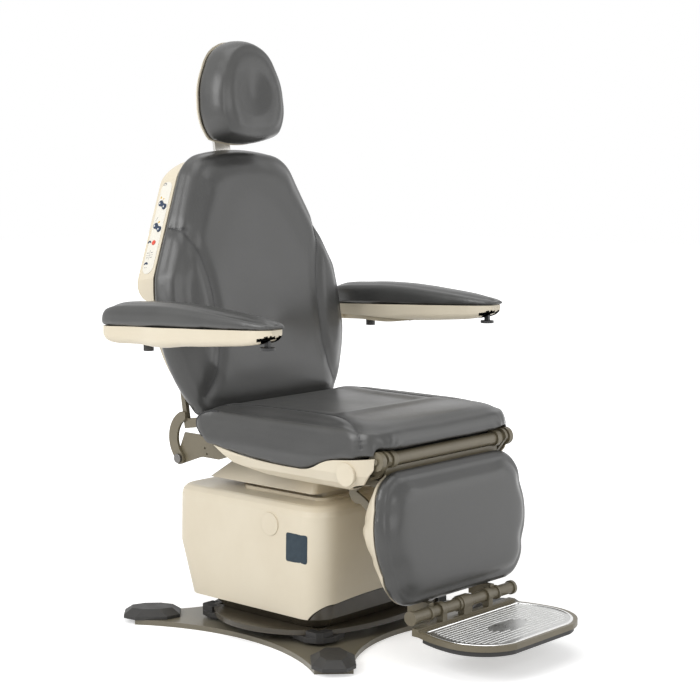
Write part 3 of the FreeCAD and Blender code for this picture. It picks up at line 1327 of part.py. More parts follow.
def pod_form(inset):
    """The two control pods as bands along the flanks, with a rounded side profile."""
    rim = n.back_thick * RIM_INSET_SHARE - n.back_shell_proud
    deep = n.pod_deep - inset
    low = n.pod_low + inset
    high = n.pod_high - inset
    along = Vector(0, deep - n.seat_gap, 0)
    start = at_y(n.seat_gap)
    band = prism(back_outline(rim + inset), start, along)
    band = band.cut(prism(back_outline(rim + n.pod_width - inset), start, along))
    low_via = (deep * (1 - ROUND_VIA_SHARE), low + (n.pod_full_low - low) * ROUND_VIA_SHARE)
    high_via = (deep * (1 - ROUND_VIA_SHARE), high - (high - n.pod_full_high) * ROUND_VIA_SHARE)
    side = prism([
        (0, low),
        (deep / 3, low) + low_via,
        (deep, n.pod_full_low + inset),
        (deep, n.pod_full_high - inset) + high_via,
        (deep / 3, high),
        (0, high),
    ], at_x(-n.back_wide_half), Vector(2 * n.back_wide_half, 0, 0))
    return band.common(side)


def flank_place():
    """The right flank's frame: X out of the shell, Y to the rear, Z up along the flank."""
    rim = n.back_thick * RIM_INSET_SHARE - n.back_shell_proud
    low = back_outline(rim)[3]
    high = back_outline(rim)[4]
    turn = math.degrees(math.atan2(high[0] - low[0], high[1] - low[1]))
    return FreeCAD.Placement(Vector(low[0], 0, low[1]), Rotation(Vector(0, 1, 0), turn))


film_middle = n.film_start + n.film_width / 2
ROCKER_WAIST_SHARE = 0.55


def rocker_outline(grow):
    """An hourglass key: two round ends and a waist, turned on its film."""
    end = n.rocker_width / 2 + grow
    reach = n.rocker_length / 2 - n.rocker_width / 2
    waist = end * ROCKER_WAIST_SHARE + grow
    flat = [(-reach, -end, -reach - end, 0), (-reach, end), (0, waist),
            (reach, end, reach + end, 0), (reach, -end), (0, -waist)]
    turn = math.radians(n.rocker_turn)
    turned = []
    for corner in flat:
        pairs = [corner[:2], corner[2:]] if len(corner) == 4 else [corner]
        values = []
        for a, b in pairs:
            values += [a * math.cos(turn) - b * math.sin(turn),
                       a * math.sin(turn) + b * math.cos(turn)]
        turned.append(tuple(values))
    return turned


def key_solid(kind, grow, low, high):
    """A key, or its window when grown, between two depths on the right flank."""
    if kind == "stop_key":
        solid = Part.makeCylinder(n.key_radius + grow, high - low,
                                  Vector(low, film_middle, n.key_round_at), Vector(1, 0, 0))
    else:
        at = n.lift_key_at if kind == "lift_key" else n.back_key_at
        solid = prism(rocker_outline(grow), at_x(low), Vector(high - low, 0, 0))
        solid.translate(Vector(0, film_middle, at))
    solid.Placement = flank_place().multiply(solid.Placement)
    return solid


KEY_KINDS = ("lift_key", "back_key", "stop_key")


def both(solid):
    return [solid, mirror_shape(solid)]


def back_shell():
    solid = back_shell_form(0).fuse(pod_form(0))
    solid = solid.cut(back_shell_form(n.back_shell_wall))
    solid = solid.cut(pod_form(n.back_shell_wall)).removeSplitter()
    for kind in KEY_KINDS:
        window = key_solid(kind, n.key_gap, -n.back_shell_wall - n.overrun, n.overrun)
        solid = solid.cut(both(window))
    bar = n.bar_width / 2 + n.run_gap
    solid = solid.cut(block(-bar, bar, n.bar_at - n.run_gap, n.bar_at + n.bar_thick + n.run_gap,
                            n.back_frame_high, n.back_top + n.overrun))
    slot = block(n.back_frame_x + n.back_frame_bar, n.back_wide_half, 0,
                 n.back_frame_thick + n.overrun, -n.back_bottom - n.overrun,
                 n.back_frame_low + n.back_frame_bar + n.run_gap)
    solid = solid.cut(both(slot))
    hole = Part.makeCylinder(n.shaft_radius + n.run_gap, n.back_wide_half,
                             Vector(n.shaft_in, arm_axis[0], arm_axis[1]), Vector(1, 0, 0))
    return solid.cut(both(hole))


def to_back(y, z):
    """A place in the chair's side view, given in the upright back's own Y and Z."""
    place = back_place.inverse().multVec(Vector(0, y, z))
    return place.y, place.z


arm_axis = to_back(n.arm_axis_y, n.arm_axis_z)
part("back_shell", lean_back(shape(back_shell())))
part("back_cushion", lean_back(shape(back_cushion())))


def keypad_film():
    """A thin film with round ends on the right flank, with a window for each key."""
    start = n.film_start
    round_ = n.film_width / 2 - n.seat_gap
    solid = prism(rounded(start, start + n.film_width, n.film_low, n.film_high, round_),
                  at_x(0), Vector(n.film_thick, 0, 0))
    solid.Placement = flank_place()
    for kind in KEY_KINDS:
        solid = solid.cut(key_solid(kind, n.key_gap, -n.overrun, n.overrun))
    return solid


part("keypad_films", lean_back(shape(Part.makeCompound(both(keypad_film())))))
for kind in KEY_KINDS:
    key = key_solid(kind, 0, -n.key_deep, n.film_thick + n.key_proud)
    part(kind + "_left", lean_back(shape(Part.makeCompound([key]))))
    part(kind + "_right", lean_back(shape(Part.makeCompound([mirror_shape(key)]))))

# Steel frame inside the back, with the guide for the headrest bar and the armrest clamps
bar_in = s.seat_gap
bar_out = s.seat_gap + s.back_frame_thick
upright = box(s.back_frame_x - s.back_frame_bar, s.back_frame_x, bar_in, bar_out,
              s.back_frame_low, s.back_frame_high)
foot_bar = box(-crescent_in, crescent_in, bar_in, bar_out, s.back_frame_low,
               s.back_frame_low + s.back_frame_bar)
bracket = box(s.cheek_x - s.cheek_thick, crescent_in, bar_in, bar_out, -s.bracket_low,
              s.back_frame_low + s.back_frame_bar)
gusset_high = -(s.back_bottom + s.back_thick * BACK_BULGE_SHARE + s.run_gap)
gusset = box(s.cheek_x - s.cheek_thick, crescent_in, -s.gusset_reach, bar_out, -s.bracket_low,
             gusset_high)
bracket = fuse(bracket, gusset)
guide_in = s.bar_width / 2 + s.run_gap
guide_out = guide_in + s.lug_thick
guide_back = s.bar_at + s.bar_thick + s.run_gap
guide_low = s.bar_low - s.back_frame_bar
guide = box(guide_in, guide_out, bar_in, guide_back + s.lug_thick / 2, guide_low,
            s.back_frame_high)
head_bar = box(-s.back_frame_x, s.back_frame_x, guide_back, guide_back + s.lug_thick / 2,
               s.back_frame_high - s.back_frame_bar, s.back_frame_high)
low_bar = box(-s.back_frame_x, s.back_frame_x, guide_back, guide_back + s.lug_thick / 2,
              guide_low, guide_low + s.back_frame_bar)
strip = box(-guide_in, guide_in, bar_in, s.bar_at - s.run_gap,
            s.back_frame_high - s.back_frame_bar, s.back_frame_high)


def back_cosine():
    return Size(math.cos(math.radians(n.back_lean)), "cos(Sizes.back_lean * 1 deg)")


def back_sine():
    return Size(math.sin(math.radians(n.back_lean)), "sin(Sizes.back_lean * 1 deg)")


axis_rear = (s.arm_axis_y - s.back_y) * back_cosine() - (s.arm_axis_z - s.back_z) * back_sine()
axis_along = (s.arm_axis_y - s.back_y) * back_sine() + (s.arm_axis_z - s.back_z) * back_cosine()
clamp = box(s.back_frame_x, s.shaft_in + s.back_frame_bar, bar_in,
            axis_rear + s.shaft_radius, axis_along - s.back_frame_bar / 2,
            axis_along + s.back_frame_bar / 2)
clamp_bore = rod("x", s.shaft_radius, s.shaft_in, s.shaft_in + s.back_frame_bar + s.overrun,
                 axis_rear, axis_along)
clamp = cut(clamp, clamp_bore)
back_frame = fuse(upright, mirrored(upright), foot_bar, bracket, mirrored(bracket), guide,
                  mirrored(guide), head_bar, strip, low_bar, clamp, mirrored(clamp))
part("back_frame", lean_back(back_frame))
shaft_end = s.pad_x + s.shaft_past
arm_shaft = rod("x", s.shaft_radius, s.shaft_in, shaft_end, s.arm_axis_y, s.arm_axis_z)
arm_inner = s.pad_x - s.pad_half - s.run_gap
arm_collar = rod("x", s.hub_radius, arm_inner - s.hub_radius / 2, arm_inner, s.arm_axis_y,
                 s.arm_axis_z)
arm_shaft = fuse(arm_shaft, arm_collar)
part("arm_shafts", group(arm_shaft, mirrored(arm_shaft)))

# Headrest, modelled upright like the back: bar on the back's lean, pad on its own lean
head_place = FreeCAD.Placement(Vector(0, n.head_y, n.head_z),
                               Rotation(Vector(1, 0, 0), -n.head_lean))
knuckle_z = s.bar_high + s.knuckle_radius
knuckle_y = s.bar_at + s.bar_thick / 2


def lean_head(piece):
    """Puts a headrest piece, modelled upright, at its place."""
    piece.Placement = head_place.multiply(piece.Placement)
    bind(piece, "Placement.Base.y", s.head_y)
    bind(piece, "Placement.Base.z", s.head_z)
    return piece


def head_outline(inset):
    """The headrest's egg outline from the front, drawn in by inset."""
    half_shares = (0.79, 0.96, 1.02, 0.965, 0.81, 0.61, 0.35)
    high_shares = (0.052, 0.18, 0.4, 0.59, 0.75, 0.89, 0.965)
    middle = n.head_wide_at
    spots = []
    for half, high in zip(half_shares, high_shares):
        z = n.head_height * high
        spots.append((n.head_half * half - inset * half,
                      middle + (z - middle) * (1 - inset / middle)))
    low_z = middle - (middle - inset)
    high_z = middle + (n.head_height - middle) * (1 - inset / middle)
    right = [spots[0] + spots[1], spots[2] + spots[3], spots[4] + spots[5],
             spots[6] + (0, high_z)]
    left = [(-spots[6][0], spots[6][1], -spots[5][0], spots[5][1]),
            (-spots[4][0], spots[4][1], -spots[3][0], spots[3][1]),
            (-spots[2][0], spots[2][1], -spots[1][0], spots[1][1]),
            (-spots[0][0], spots[0][1], 0, low_z)]
    return right + left


def headrest_cushion():
    depth_shares = (0, 0.22, 0.6, 0.84, 0.96, 1)
    inset_shares = (0.05, 0, 0.02, 0.12, 0.3, 0.52)
    solid = loft([ring(head_outline(n.head_thick * inset), at_y(-n.head_thick * depth))
                  for depth, inset in zip(depth_shares, inset_shares)])
    reach = (n.dish_half ** 2 + n.dish_deep ** 2) / (2 * n.dish_deep)
    dish = Part.makeSphere(reach, Vector(0, -n.head_thick - reach + n.dish_deep,
                                         n.head_height / 2))
    return solid.cut(dish)


def headrest_shell_form(inset):
    depth_shares = (0, 0.5, 0.82, 1)
    draw_shares = (0, 0.25, 0.9, 2)
    wires = []
    for depth, draw in zip(depth_shares, draw_shares):
        y = n.seat_gap + (n.head_shell_deep - inset - n.seat_gap) * depth
        y -= n.overrun if inset and not depth else 0
        wires.append(ring(head_outline(n.head_shell_deep * draw + inset), at_y(y)))
    return loft(wires, True)


part("headrest_cushion", lean_head(shape(headrest_cushion())))
headrest_shell = headrest_shell_form(0).cut(headrest_shell_form(n.back_shell_wall))
part("headrest_shell", lean_head(shape(headrest_shell)))

knuckle_half = s.bar_width / 2 - s.lug_thick - s.run_gap
head_rod = fuse(
    box(-s.bar_width / 2, s.bar_width / 2, s.bar_at, s.bar_at + s.bar_thick, s.bar_low,
        s.bar_high - s.knuckle_radius),
    box(-knuckle_half, knuckle_half, s.bar_at, s.bar_at + s.bar_thick,
        s.bar_high - s.knuckle_radius - s.overrun, knuckle_z),
    rod("x", s.knuckle_radius, -knuckle_half, knuckle_half, knuckle_y, knuckle_z))
head_rod = cut(head_rod, rod("x", s.ram_pin + s.run_gap, -s.bar_width, s.bar_width, knuckle_y,
                             knuckle_z))
part("headrest_bar", lean_back(head_rod))


def headrest_bracket():
    """A pad behind the headrest shell with two ears and a pin through the bar's knuckle."""
    spot = head_place.inverse().multVec(back_place.multVec(Vector(0, float(knuckle_y), float(knuckle_z))))
    near = n.head_shell_deep
    far = near + n.bracket_thick
    high = spot.z + n.knuckle_drop
    pad = block(-n.bracket_half, n.bracket_half, near, far, high - n.bracket_height, high)
    ear_in = n.bar_width / 2 - n.lug_thick
    ear = block(ear_in - n.run_gap, n.bracket_half, near, spot.y, spot.z - n.knuckle_radius,
                spot.z + n.knuckle_radius)
    eye = Part.makeCylinder(n.knuckle_radius, n.bracket_half - ear_in + n.run_gap,
                            Vector(ear_in - n.run_gap, spot.y, spot.z), Vector(1, 0, 0))
    pin = Part.makeCylinder(n.ram_pin, 2 * n.bracket_half,
                            Vector(-n.bracket_half, spot.y, spot.z), Vector(1, 0, 0))
    ear = ear.fuse(eye)
    return pad.fuse([ear, mirror_shape(ear), pin]).removeSplitter()


part("headrest_bracket", lean_head(shape(headrest_bracket())))

# Armrests, modelled on the sitter's left and mirrored
PAD_LENGTH = n.pad_rear + n.pad_front
EDGE_SHARE = 0.16
SECTION_SHARES = (0.38, 0.74, 0.93, 1)
UPPER_SHARE = 0.92
BROW_SHARE = 0.66
SHELL_CORNER_SHARE = 0.42


def pad_line(share):
    """Height of the pad's underside, from the rear end to the tip."""
    return n.pad_line_rear + (n.pad_line_front - n.pad_line_rear) * share


def at_arm(y):
    return lambda a, b: Vector(n.pad_x + a, y, b)


def arm_pad():
    place_shares = (0, 0.014, 0.055, 0.17, 0.312, 0.525, 0.755, 0.915, 0.975, 1)
    half_shares = (0.6, 0.84, 0.97, 1, 1, 1, 0.97, 0.82, 0.58, 0.3)
    low_shares = (0.1, 0.03, 0, 0, 0, 0, 0, 0, 0, 0.03)
    high_shares = (0.42, 0.66, 0.87, 0.98, 1, 0.9, 0.62, 0.36, 0.22, 0.15)
    wires = []
    for place, wide, under, over in zip(place_shares, half_shares, low_shares, high_shares):
        half = n.pad_half * wide
        low = pad_line(place) + n.pad_crown * under
        high = pad_line(place) + n.pad_crown * over
        tall = high - low
        edge = tall * EDGE_SHARE
        near = edge * ROUND_VIA_SHARE
        side, upper, brow, crest = [low + tall * share for share in SECTION_SHARES]
        wires.append(ring([
            (-half + edge, low),
            (half - edge, low, half - near, low + near),
            (half, low + edge),
            (half, side, half * UPPER_SHARE, upper),
            (half * BROW_SHARE, brow, 0, crest),
            (-half * BROW_SHARE, brow, -half * UPPER_SHARE, upper),
            (-half, side),
            (-half, low + edge, -half + near, low + near),
        ], at_arm(n.pad_rear - PAD_LENGTH * place)))
    return loft(wires)


def arm_shell_form(inset):
    place_shares = (0.007, 0.025, 0.073, 0.317, 0.493, 0.755, 0.851, 0.941, 0.979)
    half_shares = (0.62, 0.82, 0.944, 0.944, 0.944, 0.93, 0.87, 0.68, 0.36)
    deep_shares = (0.46, 0.665, 0.857, 1, 0.93, 0.817, 0.763, 0.576, 0.315)
    wires = []
    last = len(place_shares) - 1
    for index, (place, wide, deep) in enumerate(zip(place_shares, half_shares, deep_shares)):
        half = n.pad_half * wide - inset
        low = pad_line(place) - n.arm_shell_deep * deep + inset
        high = pad_line(place) - n.seat_gap + (n.overrun if inset else 0)
        corner = min(half, high - low) * SHELL_CORNER_SHARE
        near = corner * ROUND_VIA_SHARE
        y = n.pad_rear - PAD_LENGTH * place
        y += inset if index == last else 0
        y -= inset if index == 0 else 0
        wires.append(ring([
            (-half, high),
            (-half, low + corner, -half + near, low + near),
            (-half + corner, low),
            (half - corner, low, half - near, low + near),
            (half, low + corner),
            (half, high),
        ], at_arm(y)))
    return loft(wires)


def arm_notch(grow):
    notch_rear = n.arm_axis_y - n.hub_radius - n.arm_shell_wall - n.run_gap
    return block(n.pad_x - n.pad_half - n.overrun, n.pad_x - n.pad_half + n.notch_wide + grow,
                 n.notch_front - grow, notch_rear + grow,
                 n.arm_shell_deep, n.notch_high + grow)


def arm_shell():
    inner = arm_shell_form(n.arm_shell_wall).cut(arm_notch(n.arm_shell_wall))
    solid = arm_shell_form(0).cut(arm_notch(0)).cut(inner)
    hole = n.shaft_radius + n.run_gap * 2
    solid = solid.cut(Part.makeCylinder(hole, n.pad_half, Vector(
        n.pad_x - n.pad_half - n.overrun, n.arm_axis_y, n.arm_axis_z), Vector(1, 0, 0)))
    slot_x = n.stem_half * 2
    slot_y = n.lever_depth
    solid = solid.cut(block(n.pad_x - slot_x, n.pad_x + slot_x, -n.lever_y - slot_y,
                            -n.lever_y + slot_y, n.lever_low, n.lever_z - n.stem_half))
    return solid.cut(Part.makeCylinder(n.stop_peg + n.seat_gap, n.arm_shell_deep, Vector(
        n.pad_x, n.stop_y, n.arm_axis_z - n.arm_shell_deep)))


arm_pad_solid = arm_pad()
arm_shell_solid = arm_shell()
bar_front = (s.pad_rear + s.core_front) / (s.pad_rear + s.pad_front)
bar_rear = (s.pad_rear - s.core_rear) / (s.pad_rear + s.pad_front)
line_gap = s.seat_gap + s.run_gap
core_line_front = (s.pad_line_rear + (s.pad_line_front - s.pad_line_rear) * bar_front) - line_gap
core_line_rear = (s.pad_line_rear + (s.pad_line_front - s.pad_line_rear) * bar_rear) - line_gap
core_bar = profile("YZ", s.pad_x - s.core_half, s.pad_x + s.core_half, [
    (-s.core_front, core_line_front),
    (-s.core_front, core_line_front - s.core_thick),
    (s.core_rear, core_line_rear - s.core_thick),
    (s.core_rear, core_line_rear)])
hub = rod("x", s.hub_radius, s.pad_x - s.core_half, s.pad_x + s.core_half, s.arm_axis_y,
          s.arm_axis_z)
hub_neck = box(s.pad_x - s.core_half, s.pad_x + s.core_half, s.arm_axis_y - s.hub_radius,
               s.arm_axis_y + s.hub_radius, s.arm_axis_z, core_line_rear - s.core_thick / 2)
hub_bore = rod("x", s.shaft_radius + s.run_gap, s.pad_x - s.core_half - s.overrun,
               s.pad_x + s.core_half + s.overrun, s.arm_axis_y, s.arm_axis_z)
pin_radius = s.stem_half / 2
lever_ear_in = s.stem_half + s.run_gap
lever_ear_out = lever_ear_in + s.stem_half
lever_ear = box(lever_ear_in, lever_ear_out, -s.lever_y - s.lever_depth / 2,
                -s.lever_y + s.lever_depth / 2, s.lever_z - s.stem_half,
                core_line_front - s.core_thick / 2)
lever_ears = fuse(lever_ear, mirrored(lever_ear),
                  rod("x", pin_radius, -lever_ear_out, lever_ear_out, -s.lever_y, s.lever_z))
bind(lever_ears, "Placement.Base.x", s.pad_x)
arm_core = fuse(cut(fuse(core_bar, hub, hub_neck), hub_bore), lever_ears)
lever_pad = rod("z", s.paddle_half, s.lever_low, s.lever_low + s.paddle_thick, s.pad_x,
                -s.lever_y)
stem = box(s.pad_x - s.stem_half, s.pad_x + s.stem_half, -s.lever_y - s.lever_depth / 2,
           -s.lever_y + s.lever_depth / 2, s.lever_low + s.paddle_thick / 2,
           s.lever_z + s.stem_half)
pin_bore = rod("x", pin_radius + s.run_gap / 2, s.pad_x - s.lever_depth,
               s.pad_x + s.lever_depth, -s.lever_y, s.lever_z)
arm_lever = cut(fuse(lever_pad, stem), pin_bore)
arm_stop = fuse(
    rod("z", s.stop_radius, s.stop_z - s.stop_high, s.stop_z, s.pad_x, s.stop_y),
    rod("z", s.stop_peg, s.stop_z - s.stop_peg, s.stop_z + s.stop_peg * 2, s.pad_x, s.stop_y))
for name, left in (("arm_pad", shape(arm_pad_solid)), ("arm_shell", shape(arm_shell_solid)),
                   ("arm_core", arm_core), ("arm_lever", arm_lever), ("arm_stop", arm_stop)):
    part(name + "_left", left)
    part(name + "_right", mirrored(left))


# Leg rest: steel frame on the pivot tube, shell, cushion and the footplate's hinge tube
leg_rear = -(s.leg_pad_rear - s.seat_gap)
bar_rear_y = leg_rear + s.leg_bar_thick
apron = box(-s.leg_bar_half, s.leg_bar_half, leg_rear, bar_rear_y, s.leg_bar_low,
            s.leg_z - s.leg_bush_radius + s.run_gap * 4)
plate_x = s.lever_plate_x + s.leg_bar_thick
deep_z = s.strap_foot_z - s.leg_bar_thick * 3
strap_mid = s.strap_width / 2
leg_plate = profile("YZ", s.lever_plate_x, plate_x, [
    (bar_rear_y, s.leg_z - s.leg_bush_radius + s.run_gap * 4),
    (-s.frame_front - s.run_gap * 2, s.leg_z - s.strap_width / 2),
    (-s.frame_front - s.run_gap * 2, frame_low - s.run_gap * 4),
    (-s.leg_lug_y - s.ram_eye, s.leg_lug_z + s.ram_pin * 2),
    (-s.leg_lug_y + s.ram_eye, s.leg_lug_z + s.ram_pin * 2,
     -s.strap_back_y - s.strap_width, s.leg_lug_z),
    (-s.strap_back_y, s.strap_back_z,
     -s.strap_back_y - s.leg_bar_thick, s.strap_back_z - s.leg_bar_thick * 3),
    (-s.leg_shell_back + s.strap_width / 2, s.strap_foot_z + s.leg_bar_thick * 3),
    (-s.leg_shell_back - s.strap_width / 2, s.strap_foot_z),
    (-s.leg_shell_back - s.strap_width * 2, deep_z),
    (bar_rear_y, deep_z),
    (bar_rear_y, s.strap_foot_z + s.leg_bar_thick),
    (-s.leg_shell_back - s.strap_width * 2, s.strap_foot_z + s.leg_bar_thick),
    (-s.leg_shell_back - s.strap_width, s.strap_foot_z + s.leg_bar_thick * 3),
    (-s.strap_back_y - s.strap_width * 2, s.strap_back_z - s.strap_width / 2),
    (-s.strap_back_y - s.strap_width, s.strap_back_z,
     -s.strap_back_y - s.strap_width * 3 / 2, s.strap_back_z + s.strap_width / 2),
    (-s.leg_lug_y + s.ram_eye, s.leg_lug_z - s.ram_eye),
    (-s.frame_front, s.leg_lug_z - s.ram_eye),
    (bar_rear_y, s.leg_bar_low)])
bush = tube("x", s.leg_bush_radius, s.tube_radius + s.run_gap, s.lever_plate_x,
            s.lever_plate_x + s.leg_bush_width, -s.leg_y, s.leg_z)
cross_bar = box(-plate_x, plate_x, leg_rear, bar_rear_y, deep_z,
                s.strap_foot_z + s.leg_bar_thick)
rail = box(s.leg_rail_x - s.leg_rail_width / 2, s.leg_rail_x + s.leg_rail_width / 2, leg_rear,
           bar_rear_y, s.foot_lug_low + s.foot_lug_width, s.leg_bar_low + s.leg_bar_thick)
lug = box(s.foot_lug_x, s.foot_lug_x + s.foot_lug_width, -s.foot_y, bar_rear_y,
          s.foot_lug_low, s.foot_lug_high)
lug = cut(lug, rod("x", s.foot_tube_radius, s.foot_lug_x - s.overrun,
                   s.foot_lug_x + s.foot_lug_width + s.overrun, -s.foot_y, s.foot_z))
stub = rod("x", s.ram_pin, -s.lever_plate_x - s.leg_bar_thick / 2,
           -s.leg_ram_x - s.ram_eye / 2 - s.run_gap, -s.leg_lug_y, s.leg_lug_z)
part("leg_frame", fuse(apron, leg_plate, mirrored(leg_plate), bush, mirrored(bush), cross_bar,
                       rail, mirrored(rail), lug, mirrored(lug), stub))

end_cap = rod("x", s.foot_ring_radius, s.foot_tube_half, s.foot_tube_half + s.foot_ring_width,
              -s.foot_y, s.foot_z)
tube_ring = rod("x", s.foot_ring_radius, s.foot_lug_x + s.foot_lug_width + s.run_gap,
                s.foot_lug_x + s.foot_lug_width + s.run_gap + s.foot_ring_width, -s.foot_y,
                s.foot_z)
inner_ring = rod("x", s.foot_ring_radius, s.knuckle_mid + s.run_gap,
                 s.knuckle_mid + s.run_gap + s.foot_ring_width, -s.foot_y, s.foot_z)
foot_tube = rod("x", s.foot_tube_radius, -s.foot_tube_half, s.foot_tube_half, -s.foot_y,
                s.foot_z)
part("foot_hinge_tube", fuse(foot_tube, end_cap, mirrored(end_cap), tube_ring,
                             mirrored(tube_ring), inner_ring, mirrored(inner_ring)))


LEG_FOOT_SHARE = 0.925
LEG_HEAD_SHARE = 0.96


def leg_outline(half, low, high, turn):
    """The leg rest's barrel outline, with bulging sides and round corners."""
    foot = half * LEG_FOOT_SHARE
    head = half * LEG_HEAD_SHARE
    near = turn * ROUND_VIA_SHARE
    middle = (low + high) / 2
    return [
        (foot - turn, low, foot - near, low + near),
        (foot, low + turn, half, middle),
        (head, high - turn, head - near, high - near),
        (head - turn, high),
        (turn - head, high, near - head, high - near),
        (-head, high - turn, -half, middle),
        (-foot, low + turn, near - foot, low + near),
        (turn - foot, low),
    ]


def at_leg(y):
    """Lifts an outline onto the leaning plane of the leg rest."""
    lean = math.tan(math.radians(n.leg_lean))
    return lambda a, b: Vector(a, y + (b - n.leg_pad_high) * lean, b)


def leg_cushion():
    depth_shares = (0, 0.22, 0.6, 0.87, 0.97, 1)
    inset_shares = (0.065, 0, 0, 0.16, 0.4, 0.7)
    depth = n.leg_pad_front - n.leg_pad_rear
    wires = []
    for deep, inset in zip(depth_shares, inset_shares):
        draw = n.leg_round * inset
        half = n.leg_pad_half - draw
        wires.append(ring(leg_outline(half, n.leg_pad_low + draw, n.leg_pad_high - draw,
                                      n.leg_round), at_leg(-n.leg_pad_rear - depth * deep)))
    return loft(wires)


def leg_shell_form(inset):
    depth_shares = (0, 0.143, 0.48, 0.84, 1)
    half_shares = (1, 0.99, 0.945, 0.85, 0.66)
    low_shares = (0, 0.0375, 0.15, 0.3, 0.5)
    high_shares = (1, 0.975, 0.865, 0.755, 0.69)
    round_shares = (1, 0.97, 0.9, 0.65, 0.3)
    tall = n.leg_pad_high - n.leg_pad_low - n.run_gap * 2
    deep = n.leg_pad_rear - n.seat_gap - n.leg_shell_back - inset
    wires = []
    for place, wide, low, high, turn in zip(depth_shares, half_shares, low_shares, high_shares,
                                            round_shares):
        y = -n.leg_pad_rear + n.seat_gap + deep * place
        y -= n.overrun if inset and not place else 0
        half = n.leg_shell_half * wide - inset
        wires.append(ring(leg_outline(half, n.leg_pad_low + tall * low + inset,
                                      n.leg_pad_low + tall * high - inset,
                                      n.leg_round * turn - inset), at_leg(y)))
    return loft(wires, True)


def leg_shell():
    solid = leg_shell_form(0).cut(leg_shell_form(n.leg_shell_wall))
    front = -n.leg_pad_rear - n.overrun
    behind = -n.leg_pad_rear + n.leg_bar_thick + n.run_gap * 2
    top = n.leg_pad_high + n.overrun
    room = n.leg_bar_half + n.run_gap * 2
    solid = solid.cut(block(-room, room, front, behind, n.leg_bar_low - n.run_gap * 2, top))
    near = n.lever_plate_x - n.run_gap * 2
    far = n.lever_plate_x + n.leg_bar_thick + n.run_gap * 2
    foot = n.strap_foot_z - n.leg_bar_thick * 3 - n.run_gap * 2
    solid = solid.cut(both(block(near, far, front, -n.leg_shell_back + n.overrun, foot, top)))
    eye_in = n.leg_ram_x - n.ram_eye - n.run_gap
    eye_low = n.leg_lug_z - n.ram_eye * 2 - n.overrun
    solid = solid.cut(both(block(eye_in, far, front, -n.leg_shell_back + n.overrun, eye_low,
                                 top)))
    rail_half = n.leg_rail_width / 2 + n.run_gap * 2
    lug_far = n.foot_lug_x + n.foot_lug_width + n.run_gap * 2
    return solid.cut(both(block(n.leg_rail_x - rail_half, lug_far, front, behind,
                                n.foot_lug_low, n.strap_foot_z)))


part("leg_shell", shape(leg_shell()))
part("leg_cushion", shape(leg_cushion()))

# Footplate: rim and knuckles, ribbed tread and rubber bumper
FOOT_SIDE_SHARES = (0.7, 0.5)
FOOT_TURN_SHARES = (0.74, 0.66)
FOOT_TURN_INSET_SHARE = 0.4


def foot_outline(inset):
    """The footplate's outline from above, drawn in by inset."""
    rear = -n.foot_rear - inset
    front = -n.foot_front + inset
    start = n.foot_rear_half - inset
    wide = n.foot_wide_half - inset
    wide_y = -n.foot_wide_y
    end = n.foot_wide_half - n.foot_corner - inset * FOOT_TURN_INSET_SHARE
    side_x = start + (wide - start) * FOOT_SIDE_SHARES[0]
    side_y = rear + (wide_y - rear) * FOOT_SIDE_SHARES[1]
    turn_x = end + (wide - end) * FOOT_TURN_SHARES[0]
    turn_y = wide_y + (front - wide_y) * FOOT_TURN_SHARES[1]
    return [(start, rear, side_x, side_y), (wide, wide_y, turn_x, turn_y), (end, front),
            (-end, front, -turn_x, turn_y), (-wide, wide_y, -side_x, side_y), (-start, rear)]


def foot_slab(inset, low, high):
    return prism(foot_outline(inset), at_z(low), Vector(0, 0, high - low))


def foot_frame():
    low = n.foot_top - n.rim_thick
    rim = foot_slab(0, low, n.foot_top)
    rim = rim.cut(foot_slab(n.tread_rim, n.foot_top - n.tread_thick, n.foot_top + n.overrun))
    outer = n.foot_tube_radius + n.run_gap + n.knuckle_wall
    bore = Part.makeCylinder(n.foot_tube_radius + n.run_gap, 2 * n.foot_rear_half,
                             Vector(-n.foot_rear_half, -n.foot_y, n.foot_z), Vector(1, 0, 0))
    bar = block(-n.foot_rear_half, n.foot_rear_half, -n.foot_rear, -n.foot_rear + n.rear_bar,
                low, low + n.rear_bar)
    rim = rim.fuse(bar)
    half = n.knuckle_width / 2
    for near, far in ((-n.knuckle_outer - half, -n.knuckle_outer + half),
                      (-n.knuckle_mid, n.knuckle_mid),
                      (n.knuckle_outer - half, n.knuckle_outer + half)):
        knuckle = Part.makeCylinder(outer, far - near, Vector(near, -n.foot_y, n.foot_z),
                                    Vector(1, 0, 0))
        web = block(near, far, -n.foot_rear, -n.foot_rear + n.rear_bar, low, n.foot_z)
        rim = rim.fuse(knuckle.fuse(web).cut(bore))
    return rim.removeSplitter()


def foot_tread():
    inset = n.tread_rim + n.seat_gap
    base = foot_slab(inset, n.foot_top - n.tread_thick, n.foot_top)
    top = foot_slab(inset + n.rib_inset, n.foot_top - n.rib_height, n.foot_top + n.rib_height)
    oval = Part.Ellipse(Vector(0, -n.bare_y, n.foot_top), n.bare_half_x, n.bare_half_y)
    bare = Part.Face(Part.Wire(oval.toShape())).extrude(Vector(0, 0, n.rim_thick))
    ribs = []
    y = -n.foot_rear - inset - n.rib_inset - n.rib_width
    while y > -n.foot_front + inset + n.rib_inset:
        ribs.append(block(-n.foot_wide_half, n.foot_wide_half, y, y + n.rib_width,
                          n.foot_top - n.rib_height, n.foot_top + n.rib_height))
        y -= n.rib_pitch
    ribs = Part.makeCompound(ribs).common(top).cut(bare)
    return base.fuse(ribs.Solids).removeSplitter()


part("foot_frame", shape(foot_frame()))
part("foot_tread", shape(foot_tread()))
bumper_top = n.foot_top - n.rim_thick
bumper = foot_slab(n.bumper_inset, bumper_top - n.bumper_thick, bumper_top)
bumper = bumper.cut(foot_slab(n.bumper_inset + n.bumper_width,
                              bumper_top - n.bumper_thick - n.overrun, bumper_top + n.overrun))
part("foot_bumper", shape(bumper))

# Actuators: each is modelled along Z from its fixed eye and then laid along its line


